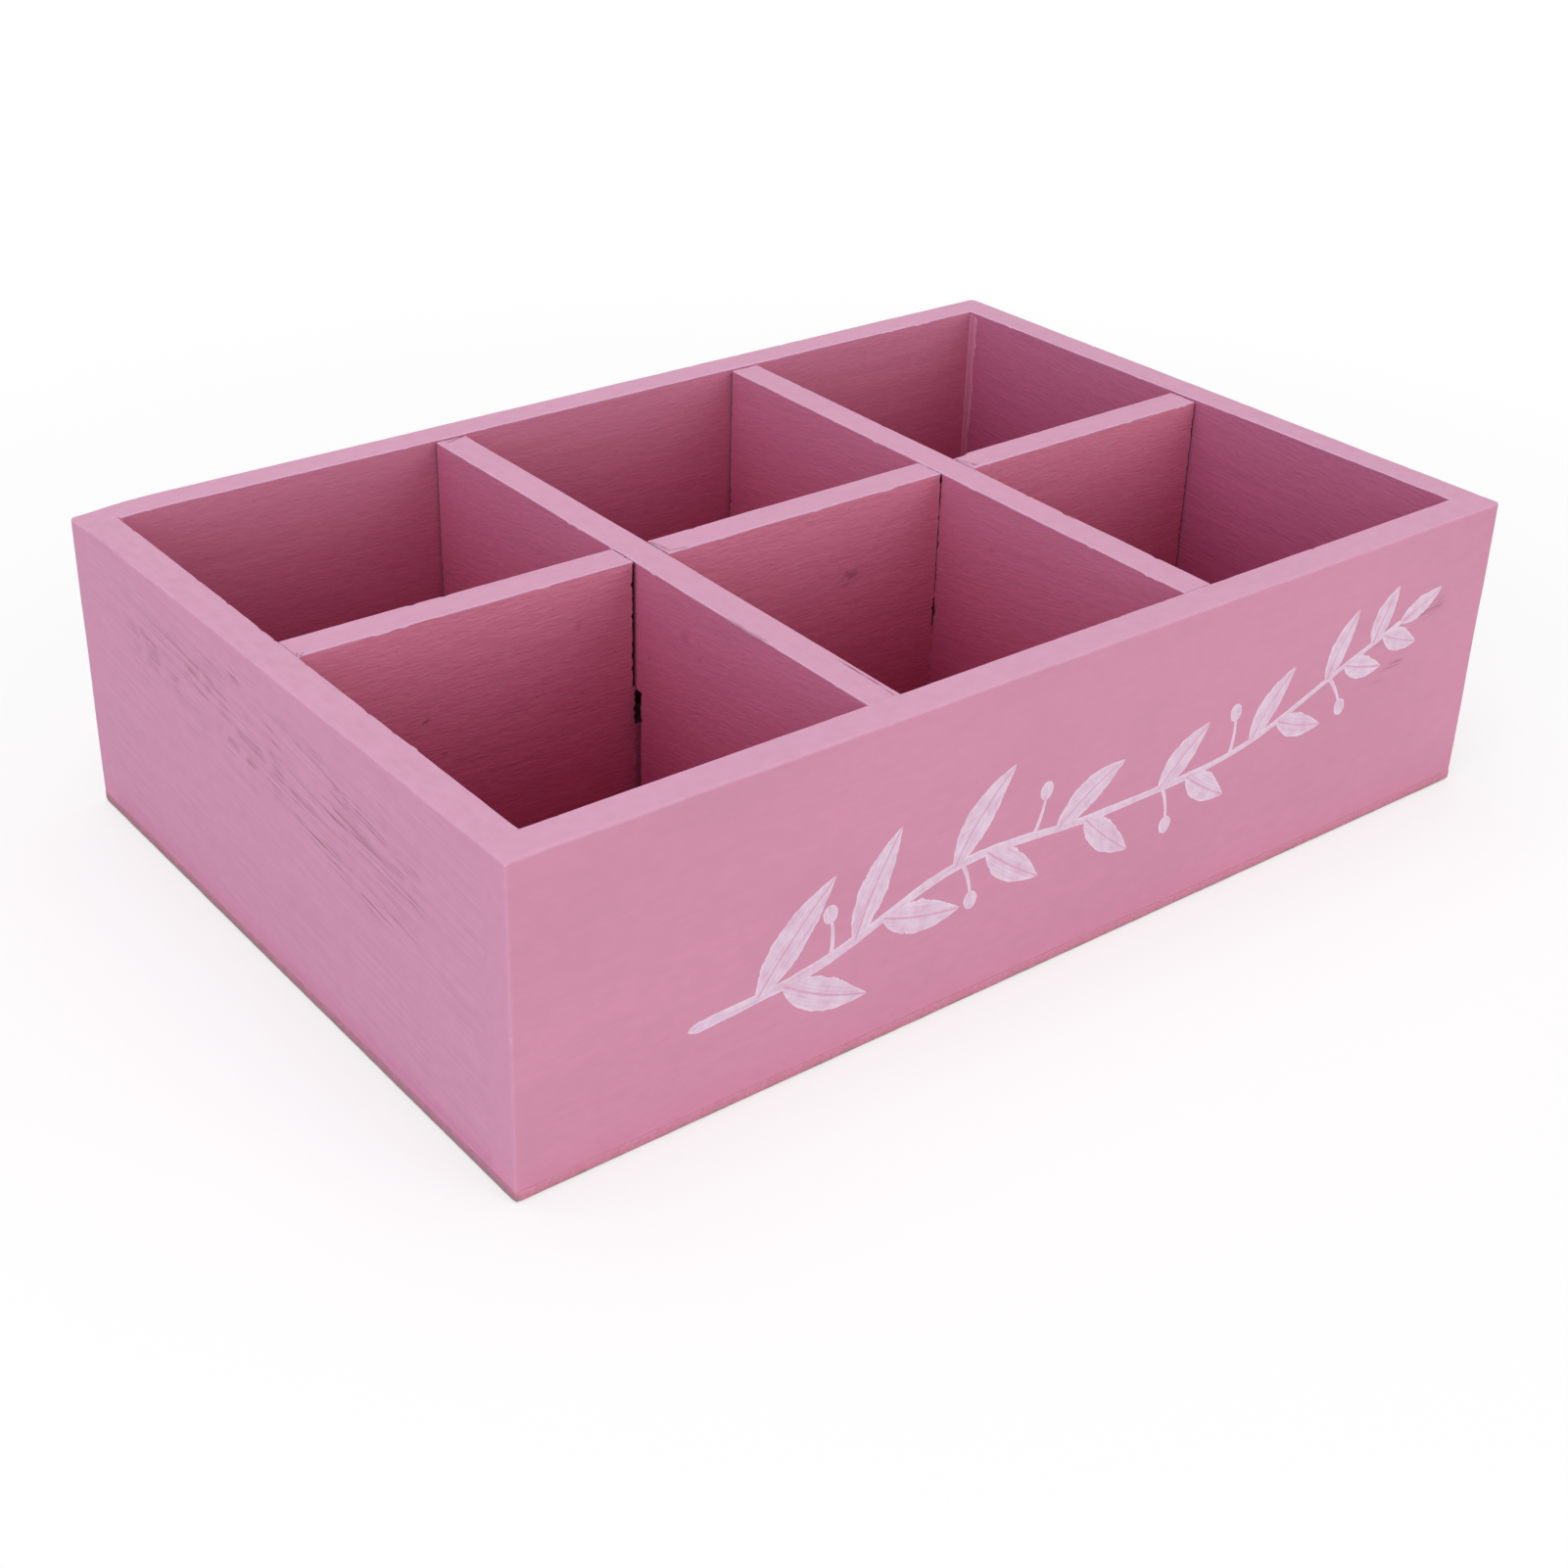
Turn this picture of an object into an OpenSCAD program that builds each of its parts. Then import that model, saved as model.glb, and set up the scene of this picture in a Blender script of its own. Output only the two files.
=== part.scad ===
// Open-top organizer box with six compartments, made of painted wooden boards.
// The front and back boards run the full length and the end boards are butted between them.
// One long divider and two cross dividers are half-lapped into a grid, and a thin plywood
// panel closes the bottom. Brads hold every joint, and putty hides their heads on the walls.
// X runs along the front to the right, Y to the back and Z up. The origin is under the middle.

/* [Box] */
// Length of the front and back, over all
body_w = 300; // [250:1:420]
// Depth from the front face to the back face
body_d = 200; // [165:1:300]
// Height from the table to the rim
body_h = 81; // [60:0.5:140]

/* [Boards] */
// Thickness of the four wall boards
wall_t = 9; // [6:0.5:14]
// Thickness of the three dividers
divider_t = 9; // [5:0.5:12]
// Thickness of the plywood bottom
panel_t = 2.5; // [2:0.25:6]

/* [Compartments] */
// Inside width of the two left-hand compartments
left_bay_w = 88.5; // [60:0.5:100]
// Inside width of the two right-hand compartments
right_bay_w = 86.5; // [60:0.5:100]
// Inside depth of the three compartments at the back
rear_bay_d = 84.5; // [50:0.5:100]
// How far the divider tops lie below the rim
divider_drop = 0.4; // [0:0.1:15]

/* [Half laps] */
// Play between a divider and each side of the slot it stands in
slot_play = 0.3; // [0.1:0.05:0.8]
// How far each slot is cut past the middle of the board
slot_overcut = 5; // [0.5:0.5:10]

/* [Sanded edges] */
// Radius of the four outer upright corners
corner_r = 1; // [0.9:0.1:5]
// Radius along the rim, outside and inside
rim_r = 0.6; // [0.3:0.1:0.8]
// Radius along the divider tops
divider_r = 0.5; // [0.3:0.1:2]

/* [Brads] */
// Shank diameter of every brad
brad_d = 1.4; // [1:0.1:1.8]
// Head diameter of every brad
brad_head_d = 2.2; // [2:0.1:3]
// Thickness of a brad head
brad_head_t = 0.8; // [0.5:0.1:1.2]
// Length of the brads through the walls
wall_brad_l = 25; // [18:1:32]
// Length of the brads through the bottom
panel_brad_l = 14; // [10:1:18]
// Depth of a wall brad's head below the surface, filled with putty
putty_t = 1.2; // [0.6:0.1:2.5]
// Depth of a bottom brad's head below the surface
panel_set = 0.3; // [0.1:0.1:0.6]
// Brads one above another at each box corner
corner_brads_n = 3; // [2:1:4]
// Height of the lowest and highest wall brads from the board edges
wall_brad_edge = 18; // [12:1:22]
// Brads along the bottom of the front board, and of the back board
panel_brads_n = 5; // [3:1:9]
// Distance of the outermost of those brads from the box ends
panel_brad_edge = 20; // [15:1:40]

/* [Hidden] */
$fn = 48;

past = 1;                          // how far a cutter runs past the face it opens
brad_point_l = 1.8;                // length of a brad's point
brad_tip_d = 0.3;                  // what is left of the point at its tip

inner_w = body_w - 2 * wall_t;
inner_d = body_d - 2 * wall_t;
wall_h = body_h - panel_t;
rim_z = body_h - divider_drop;     // tops of the dividers
divider_h = rim_z - panel_t;

// Middle planes of the dividers
left_cross_x = -inner_w / 2 + left_bay_w + divider_t / 2;
right_cross_x = inner_w / 2 - right_bay_w - divider_t / 2;
cross_xs = [left_cross_x, right_cross_x];
long_y = inner_d / 2 - rear_bay_d - divider_t / 2;

// Half laps: the long divider is slotted from above, the cross dividers from below
slot_w = divider_t + 2 * slot_play;
slot_h = divider_h / 2 + slot_overcut;

// Middles of the compartments, where the bottom is nailed to the dividers
front_bay_y = (long_y - divider_t / 2 - inner_d / 2) / 2;
rear_bay_y = (long_y + divider_t / 2 + inner_d / 2) / 2;
bay_xs = [
    (left_cross_x - divider_t / 2 - inner_w / 2) / 2,
    (left_cross_x + right_cross_x) / 2,
    (right_cross_x + divider_t / 2 + inner_w / 2) / 2
];

pink = "#cf8eac";
pink_end = "#c78fae";
pink_inside = "#b8718f";
raw_ply = "#a98874";
steel = "#b9bcc0";
putty = "#d3a3b4";

// n values spread evenly from a to b
function spread(a, b, n) = [for (i = [0 : n - 1]) a + (b - a) * i / (n - 1)];

// A brad spot is [point on the surface, rotation that turns +Z into the wood]
corner_spots = [
    for (end = [-1, 1], side = [-1, 1],
         z = spread(panel_t + wall_brad_edge, body_h - wall_brad_edge, corner_brads_n))
        [[end * (body_w - wall_t) / 2, side * body_d / 2, z], [side * 90, 0, 0]]
];
divider_zs = [panel_t + wall_brad_edge, rim_z - wall_brad_edge];
divider_spots = concat(
    [for (x = cross_xs, side = [-1, 1], z = divider_zs)
        [[x, side * body_d / 2, z], [side * 90, 0, 0]]],
    [for (end = [-1, 1], z = divider_zs)
        [[end * body_w / 2, long_y, z], [0, -end * 90, 0]]]
);
panel_row = spread(-body_w / 2 + panel_brad_edge, body_w / 2 - panel_brad_edge, panel_brads_n);
bottom_spots = concat(
    [for (x = panel_row, side = [-1, 1]) [[x, side * (body_d - wall_t) / 2, 0], [0, 0, 0]]],
    [for (end = [-1, 1], y = [front_bay_y, rear_bay_y])
        [[end * (body_w - wall_t) / 2, y, 0], [0, 0, 0]]],
    [for (x = bay_xs) [[x, long_y, 0], [0, 0, 0]]],
    [for (x = cross_xs, y = [front_bay_y, rear_bay_y]) [[x, y, 0], [0, 0, 0]]]
);
wall_spots = concat(corner_spots, divider_spots);

// Children at every spot of a list
module at_spots(spots)
    for (s = spots) translate(s[0]) rotate(s[1]) children();

// A brad as a turned shape: flat head, straight shank and short point, from z = 0 upwards
module brad(length)
    rotate_extrude()
        polygon([[0, 0], [brad_head_d / 2, 0], [brad_head_d / 2, brad_head_t],
                 [brad_d / 2, brad_head_t], [brad_d / 2, length - brad_point_l],
                 [brad_tip_d / 2, length], [0, length]]);

// The hole that a brad makes when its head is driven to the depth set
module brad_hole(length, set) {
    translate([0, 0, set]) brad(length);
    translate([0, 0, -past]) cylinder(d = brad_head_d, h = past + set);
}

module wall_brad_holes()
    at_spots(wall_spots) brad_hole(wall_brad_l, putty_t);

module panel_brad_holes()
    at_spots(bottom_spots) brad_hole(panel_brad_l, panel_set);

// Rectangle with rounded corners, centred
module rounded_rect(w, d, r) {
    square([w - 2 * r, d], center = true);
    square([w, d - 2 * r], center = true);
    for (x = [-1, 1], y = [-1, 1])
        translate([x * (w / 2 - r), y * (d / 2 - r)]) circle(r);
}

// Board section with both top corners rounded, standing on y = 0
module rounded_top(width, height, r) {
    translate([-width / 2, 0]) square([width, height - r]);
    translate([r - width / 2, 0]) square([width - 2 * r, height]);
    for (side = [-1, 1]) translate([side * (width / 2 - r), height - r]) circle(r);
}

// Outside of the box as sanded: upright corners and the rim's outer edge are round
module sanded_outside()
    intersection() {
        linear_extrude(body_h + past) rounded_rect(body_w, body_d, corner_r);
        rotate([90, 0, 90]) linear_extrude(body_w + 2 * past, center = true)
            rounded_top(body_d, body_h, rim_r);
        rotate([90, 0, 0]) linear_extrude(body_d + 2 * past, center = true)
            rounded_top(body_w, body_h, rim_r);
    }

// Section of the opening: straight walls that flare out in a round over the rim
module flared_section(width) {
    translate([-width / 2, 0]) square([width, body_h + past]);
    difference() {
        translate([-width / 2 - rim_r, body_h - rim_r]) square([width + 2 * rim_r, rim_r + past]);
        for (side = [-1, 1])
            translate([side * (width / 2 + rim_r), body_h - rim_r]) circle(rim_r);
    }
}

// The opening between the walls, with the rim's inner edge eased all round
module eased_opening()
    intersection() {
        rotate([90, 0, 90]) linear_extrude(inner_w + 2 * rim_r, center = true)
            flared_section(inner_d);
        rotate([90, 0, 0]) linear_extrude(inner_d + 2 * rim_r, center = true)
            flared_section(inner_w);
    }

// A wall board cut from the block given by its children
module wall_board()
    difference() {
        intersection() {
            children();
            sanded_outside();
        }
        eased_opening();
        wall_brad_holes();
        panel_brad_holes();
    }

module long_wall(side)
    wall_board()
        translate([-body_w / 2 - past, side < 0 ? -body_d / 2 - past : inner_d / 2, panel_t])
            cube([body_w + 2 * past, wall_t + past, wall_h + past]);

module end_wall(end)
    wall_board()
        translate([end < 0 ? -body_w / 2 - past : inner_w / 2, -inner_d / 2, panel_t])
            cube([wall_t + past, inner_d, wall_h + past]);

module front_board() color(pink) long_wall(-1);

module back_board() color(pink) long_wall(1);

module left_end_board() color(pink_end) end_wall(-1);

module right_end_board() color(pink_end) end_wall(1);

// The long divider lies in X and takes the cross dividers in slots cut from above
module long_divider()
    color(pink_inside) difference() {
        translate([0, long_y, panel_t]) rotate([90, 0, 90])
            linear_extrude(inner_w, center = true) rounded_top(divider_t, divider_h, divider_r);
        for (x = cross_xs)
            translate([x - slot_w / 2, long_y - divider_t / 2 - past, rim_z - slot_h])
                cube([slot_w, divider_t + 2 * past, slot_h + past]);
        wall_brad_holes();
        panel_brad_holes();
    }

// A cross divider lies in Y and drops over the long divider with a slot cut from below
module cross_divider(x)
    color(pink_inside) difference() {
        translate([x, 0, panel_t]) rotate([90, 0, 0])
            linear_extrude(inner_d, center = true) rounded_top(divider_t, divider_h, divider_r);
        translate([x - divider_t / 2 - past, long_y - slot_w / 2, panel_t - past])
            cube([divider_t + 2 * past, slot_w, slot_h + past]);
        wall_brad_holes();
        panel_brad_holes();
    }

module left_cross_divider() cross_divider(left_cross_x);

module right_cross_divider() cross_divider(right_cross_x);

module bottom_panel()
    color(raw_ply) difference() {
        linear_extrude(panel_t) rounded_rect(body_w, body_d, corner_r);
        panel_brad_holes();
    }

module corner_brads()
    color(steel) at_spots(corner_spots) translate([0, 0, putty_t]) brad(wall_brad_l);

module divider_brads()
    color(steel) at_spots(divider_spots) translate([0, 0, putty_t]) brad(wall_brad_l);

module bottom_brads()
    color(steel) at_spots(bottom_spots) translate([0, 0, panel_set]) brad(panel_brad_l);

module putty_plugs()
    color(putty) at_spots(wall_spots) cylinder(d = brad_head_d, h = putty_t);

front_board();
back_board();
left_end_board();
right_end_board();
long_divider();
left_cross_divider();
right_cross_divider();
bottom_panel();
corner_brads();
divider_brads();
bottom_brads();
putty_plugs();
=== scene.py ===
import math

import bpy
import numpy as np
from mathutils import Matrix, Vector


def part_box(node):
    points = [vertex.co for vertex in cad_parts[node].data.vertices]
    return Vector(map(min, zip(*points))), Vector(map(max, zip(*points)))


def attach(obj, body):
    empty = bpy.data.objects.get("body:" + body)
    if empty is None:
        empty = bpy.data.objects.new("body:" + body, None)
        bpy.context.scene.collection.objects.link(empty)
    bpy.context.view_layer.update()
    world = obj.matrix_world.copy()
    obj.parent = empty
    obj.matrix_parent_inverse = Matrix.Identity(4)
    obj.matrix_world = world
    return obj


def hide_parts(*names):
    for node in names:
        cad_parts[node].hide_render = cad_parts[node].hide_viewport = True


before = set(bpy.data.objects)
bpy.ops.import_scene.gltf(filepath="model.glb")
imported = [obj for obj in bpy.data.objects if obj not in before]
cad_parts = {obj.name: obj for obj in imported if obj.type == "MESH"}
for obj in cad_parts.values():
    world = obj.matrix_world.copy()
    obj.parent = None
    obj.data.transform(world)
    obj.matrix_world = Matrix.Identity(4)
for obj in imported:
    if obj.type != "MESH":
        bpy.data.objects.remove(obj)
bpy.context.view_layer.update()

# A hand-painted wooden coffee station organizer: four boards round a half-lapped grid of dividers.
# Shapes are worked out in millimetres and turned into metres when a mesh is made.

millimetre = 0.001


def cornersOf(node):
    # lowest and highest corner of a CAD node, in millimetres
    low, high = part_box(node)
    return np.array(low) / millimetre, np.array(high) / millimetre


frontLow, frontHigh = cornersOf("front_board")
rightLow, rightHigh = cornersOf("right_end_board")
longLow, longHigh = cornersOf("long_divider")
leftCrossLow, leftCrossHigh = cornersOf("left_cross_divider")
rightCrossLow, rightCrossHigh = cornersOf("right_cross_divider")
bottomLow, bottomHigh = cornersOf("bottom_panel")

halfLength, halfDepth = frontHigh[0], -frontLow[1]      # outside of the box
innerLength, innerDepth = rightLow[0], -frontHigh[1]    # inside of its walls
wallThickness = halfLength - innerLength
foot, rim, dividerRim = frontLow[2], frontHigh[2], longHigh[2]

print("frame loaded:", halfLength * 2, "by", halfDepth * 2, "by", rim)


# Helpers for shapes

def softNoise(a, b, size, seed):
    # Random heights from -1 to 1 on a square lattice of the given size, joined by smooth steps
    table = np.random.default_rng(seed).uniform(-1, 1, (256, 256))
    x, y = np.asarray(a, float) / size, np.asarray(b, float) / size
    i, j = np.floor(x).astype(int), np.floor(y).astype(int)
    u, v = x - i, y - j
    u, v = u * u * (3 - 2 * u), v * v * (3 - 2 * v)
    low = table[i % 256, j % 256] * (1 - u) + table[(i + 1) % 256, j % 256] * u
    high = table[i % 256, (j + 1) % 256] * (1 - u) + table[(i + 1) % 256, (j + 1) % 256] * u
    return low * (1 - v) + high * v


def smooth(value, low, high):
    # 0 below low and 1 above high, with a smooth step between them
    t = np.clip((np.asarray(value, float) - low) / (high - low), 0, 1)
    return t * t * (3 - 2 * t)


def hill(distance, width):
    # 1 at a distance of 0, falling off as a bell of that width: e^(-(d / w)^2)
    return np.exp(-(distance / width) ** 2)


def fromLine(a, b, line):
    # Distance of points (a, b) from a line of joined straight pieces
    line = np.array(line, float)
    start, run = line[:-1], np.diff(line, axis=0)
    a, b = np.asarray(a, float)[..., None], np.asarray(b, float)[..., None]
    share = ((a - start[:, 0]) * run[:, 0] + (b - start[:, 1]) * run[:, 1]) / (run ** 2).sum(1)
    share = np.clip(share, 0, 1)
    return np.hypot(a - start[:, 0] - share * run[:, 0], b - start[:, 1] - share * run[:, 1]).min(-1)


def easedDrop(distance, radius):
    # How far a quarter-round edge lies below the face, at a distance from the edge: r - sqrt(r^2 - (r - d)^2)
    inward = np.clip(radius - distance, 0, None)
    return radius - np.sqrt(np.clip(radius * radius - inward * inward, 0, None))


def stations(low, high, spacing, marks=(), steps=(0,)):
    # Mesh lines from low to high at an even spacing, and closer ones at the given steps on both sides of each mark
    even = np.linspace(low, high, int(math.ceil((high - low) / spacing)) + 1)
    marks, steps = np.array(marks, float), np.array(steps, float)
    if len(marks) == 0:
        return even
    close = np.concatenate([marks[:, None] + steps, marks[:, None] - steps]).ravel()
    close = close[(close > low + 0.02) & (close < high - 0.02)]
    clear = np.abs(even[:, None] - close).min(1) > spacing * 0.3
    clear[[0, -1]] = True
    return np.unique(np.round(np.concatenate([even[clear], close]), 3))


def slabQuads(kept, acrossCells):
    # Quads round the kept cells of a slab. The cells are counted along the slab and up it, and each goes
    # right through its thickness. A quad stands wherever a kept cell ends, and on both broad sides.
    upCells = kept.shape[1]

    def corner(i, j, k):
        return (i * (acrossCells + 1) + j) * (upCells + 1) + k

    i, k = np.nonzero(kept)
    near = [corner(i, 0, k), corner(i + 1, 0, k), corner(i + 1, 0, k + 1), corner(i, 0, k + 1)]
    j = acrossCells
    far = [corner(i, j, k), corner(i, j, k + 1), corner(i + 1, j, k + 1), corner(i + 1, j, k)]
    sheets = [np.stack(near, 1), np.stack(far, 1)]
    wood = np.pad(kept, 1).astype(int)
    j = np.arange(acrossCells)[None, :]
    for change, upright in ((wood[1:, 1:-1] - wood[:-1, 1:-1], True), (wood[1:-1, 1:] - wood[1:-1, :-1], False)):
        for starts in (1, -1):
            i, k = [n[:, None] for n in np.nonzero(change == starts)]
            if upright:
                ring = [corner(i, j, k), corner(i, j, k + 1), corner(i, j + 1, k + 1), corner(i, j + 1, k)]
            else:
                ring = [corner(i, j, k), corner(i, j + 1, k), corner(i + 1, j + 1, k), corner(i + 1, j, k)]
            sheets.append(np.stack(ring[::starts], -1).reshape(-1, 4))
    used, quads = np.unique(np.concatenate(sheets), return_inverse=True)
    quads = quads.reshape(-1, 4)
    up = used % (upCells + 1)
    across = used // (upCells + 1) % (acrossCells + 1)
    along = used // ((upCells + 1) * (acrossCells + 1))
    return quads, along, across, up


def tubeQuads(rings, around):
    # Quads of a closed tube whose rings have an even number of points, with strips of quads across both ends
    ring, point = np.meshgrid(np.arange(rings - 1), np.arange(around), indexing="ij")
    following = (point + 1) % around
    side = np.stack([ring * around + point, ring * around + following,
                     (ring + 1) * around + following, (ring + 1) * around + point], -1).reshape(-1, 4)
    n = np.arange(around // 2 - 1)
    cap = np.stack([n, around - 1 - n, around - 2 - n, n + 1], -1)
    return np.concatenate([side, cap, cap[:, ::-1] + (rings - 1) * around])


def makePiece(name, points, quads, marks, material, sharpAbove=48):
    # Puts points in millimetres and quads into a new mesh at the origin; marks are numbers kept at its points
    mesh = bpy.data.meshes.new(name)
    mesh.vertices.add(len(points))
    mesh.vertices.foreach_set("co", (np.asarray(points) * millimetre).astype(np.float32).ravel())
    mesh.loops.add(quads.size)
    mesh.loops.foreach_set("vertex_index", quads.astype(np.int32).ravel())
    mesh.polygons.add(len(quads))
    mesh.polygons.foreach_set("loop_start", np.arange(0, quads.size, 4, dtype=np.int32))
    mesh.update(calc_edges=True)
    for mark, values in marks.items():
        values = np.broadcast_to(values, len(points)).astype(np.float32)
        mesh.attributes.new(mark, "FLOAT", "POINT").data.foreach_set("value", values)
    mesh.shade_smooth()
    mesh.set_sharp_from_angle(angle=math.radians(sharpAbove))
    mesh.materials.append(material)
    piece = bpy.data.objects.new(name, mesh)
    bpy.context.scene.collection.objects.link(piece)
    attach(piece, "root")
    print(name, len(quads) * 2, "triangles")
    return piece


# Helpers for materials

def paint(hexColour):
    # sRGB hex to the linear colour that a shader takes
    parts = [int(hexColour[i:i + 2], 16) / 255 for i in (1, 3, 5)]
    return tuple(p / 12.92 if p <= 0.04045 else ((p + 0.055) / 1.055) ** 2.4 for p in parts) + (1,)


def addNode(tree, kind, settings={}, links={}):
    # Adds a node and returns its outputs by number. Settings are its own properties, its sockets' values or the
    # stops of a ramp, as places with hex colours or greys, and links join its sockets to other nodes' outputs.
    node = tree.nodes.new(kind)
    for name, value in settings.items():
        if name == "stops":
            elements = node.color_ramp.elements
            while len(elements) < len(value):
                elements.new(0.5)
            for element, (place, colour) in zip(elements, value):
                element.position = place
                element.color = paint(colour) if isinstance(colour, str) else (colour, colour, colour, 1)
        elif isinstance(name, str) and hasattr(node, name):
            setattr(node, name, value)
        else:
            node.inputs[name].default_value = paint(value) if isinstance(value, str) else value
    for name, source in links.items():
        tree.links.new(source, node.inputs[name])
    return node.outputs


def emptyMaterial(name):
    material = bpy.data.materials.new(name)
    material.use_nodes = True
    material.node_tree.nodes.clear()
    return material, material.node_tree


mathNode, mixNode, rampNode = "ShaderNodeMath", "ShaderNodeMix", "ShaderNodeValToRGB"
mixing, multiplying = {"data_type": "RGBA"}, {"data_type": "RGBA", "blend_type": "MULTIPLY", 0: 1.0}


# Chalky pink furniture paint, brushed in two coats over sawn softwood and rubbed down along the edges.
# The eye gets a matt, slightly mottled pink, with fine lines of grain under it and a thin paler line along the
# rubbed edges that is partly a painted highlight; the tops are painted paler for the light that falls on them.
# Where it is worn, short flecks of brown wood show. Inside the compartments the pink is painted deeper and darker
# towards the floor as painted shade, the outer end faces are painted a little darker as painted shade, and the
# faces hidden in joints and cracks are painted near black as the shade in them.

def chalkPaint(name, look):
    material, tree = emptyMaterial(name)
    place = addNode(tree, "ShaderNodeTexCoord")["Object"]
    marks = {mark: addNode(tree, "ShaderNodeAttribute", {"attribute_name": mark})["Fac"]
             for mark in ("inside", "edge", "worn", "smudge", "gap", "side")}
    axis = look["grainAxis"]
    slope = [0, 0, 0]
    slope[1 - axis] = math.radians(look["grainSlope"]) * (1 if axis else -1)     # grain that runs out of level
    noise = {}
    for pattern in ("fibre", "brush", "blotch", "mottle", "fleck", "patch", "pit", "nib"):
        long, wide = look[pattern]
        size = [wide * millimetre] * 3
        size[axis] = long * millimetre
        turned = addNode(tree, "ShaderNodeMapping", {"vector_type": "TEXTURE", "Scale": size, "Rotation": slope},
                         {"Vector": place})[0]
        noise[pattern] = addNode(tree, "ShaderNodeTexNoise", {"Scale": 1.0, "Detail": 2.5}, {"Vector": turned})["Fac"]

    patchy = addNode(tree, rampNode, {"stops": [(0.35, 0.0), (0.65, 1.0)]}, {0: noise["blotch"]})[0]
    outer = addNode(tree, mixNode, {**mixing, 6: look["outer"], 7: look["outerShade"]}, {0: patchy})[2]
    # The outer end faces are painted a little darker and bluer as painted shade, less so near the corners.
    outer = addNode(tree, mixNode, {**mixing, 7: look["outerShadedAtEnds"]}, {0: marks["side"], 6: outer})[2]
    # The inner faces take colours that grow deeper and darker towards the floor: painted shade.
    unevenly = addNode(tree, mathNode, {"operation": "MULTIPLY_ADD", 1: 0.22, 2: -0.11}, {0: noise["mottle"]})[0]
    depth = addNode(tree, mathNode, {"operation": "ADD"}, {0: marks["inside"], 1: unevenly})[0]
    inner = addNode(tree, rampNode, {"stops": look["inner"]}, {0: depth})[0]
    within = addNode(tree, rampNode, {"stops": [(0.02, 0.0), (0.1, 1.0)]}, {0: marks["inside"]})[0]
    colour = addNode(tree, mixNode, mixing, {0: within, 6: outer, 7: inner})[2]
    for pattern, low, high, amount in (("brush", 0.3, 0.7, look["streaks"]), ("fibre", 0.3, 0.62, look["lines"]),
                                       ("mottle", 0.35, 0.65, look["mottling"])):
        tone = addNode(tree, rampNode, {"stops": [(low, 1 - amount), (high, 1.0)]}, {0: noise[pattern]})[0]
        colour = addNode(tree, mixNode, multiplying, {6: colour, 7: tone})[2]
    ridges = addNode(tree, mathNode, {"operation": "MULTIPLY"}, {0: noise["nib"], 1: within})[0]
    tone = addNode(tree, rampNode, {"stops": [(0.2, 1.0), (0.36, 1 - look["nibs"]), (0.5, 1 - look["nibs"] / 3),
                                              (0.62, 1.0)]}, {0: ridges})[0]
    colour = addNode(tree, mixNode, multiplying, {6: colour, 7: tone})[2]
    pits = addNode(tree, rampNode, {"stops": [(0.24, look["pitting"]), (0.3, 0.0)]}, {0: noise["pit"]})[0]
    pits = addNode(tree, mathNode, {"operation": "MULTIPLY"}, {0: pits, 1: within})[0]
    colour = addNode(tree, mixNode, {**mixing, 7: look["pitColour"]}, {0: pits, 6: colour})[2]
    flecks = addNode(tree, rampNode, {"stops": [(0.45, 0.0), (0.49, 1.0), (0.51, 1.0), (0.55, 0.0)]}, {0: noise["fleck"]})[0]
    patches = addNode(tree, rampNode, {"stops": [(0.42, 0.0), (0.58, 1.0)]}, {0: noise["patch"]})[0]
    patches = addNode(tree, mathNode, {"operation": "MULTIPLY"}, {0: patches, 1: marks["worn"]})[0]
    flecks = addNode(tree, mathNode, {"operation": "MULTIPLY"}, {0: flecks, 1: patches})[0]
    colour = addNode(tree, mixNode, {**mixing, 7: look["wood"]}, {0: flecks, 6: colour})[2]
    pale = addNode(tree, rampNode, {"stops": [(0.36, 0.3), (0.4, 0.0)]}, {0: noise["fleck"]})[0]
    pale = addNode(tree, mathNode, {"operation": "MULTIPLY"}, {0: pale, 1: marks["worn"]})[0]
    colour = addNode(tree, mixNode, {**mixing, 7: look["sanded"]}, {0: pale, 6: colour})[2]
    # Edges, chips and tops are painted paler: partly rubbed paint, partly a painted highlight.
    rubbedPaleAndHighlight = addNode(tree, rampNode, {"stops": [(0.3, 0.8), (0.65, 1.0)]}, {0: noise["mottle"]})[0]
    rubbedPaleAndHighlight = addNode(tree, mathNode, {"operation": "MULTIPLY"}, {0: rubbedPaleAndHighlight, 1: marks["edge"]})[0]
    colour = addNode(tree, mixNode, {**mixing, 7: look["rubbedPaleAndHighlight"]}, {0: rubbedPaleAndHighlight, 6: colour})[2]
    colour = addNode(tree, mixNode, {**mixing, 7: look["dirt"]}, {0: marks["smudge"], 6: colour})[2]
    # Ends and faces hidden in joints, and the cracks along the tops, are painted near black as the shade in them.
    colour = addNode(tree, mixNode, {**mixing, 7: look["gapShadeColour"]}, {0: marks["gap"], 6: colour})[2]

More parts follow.
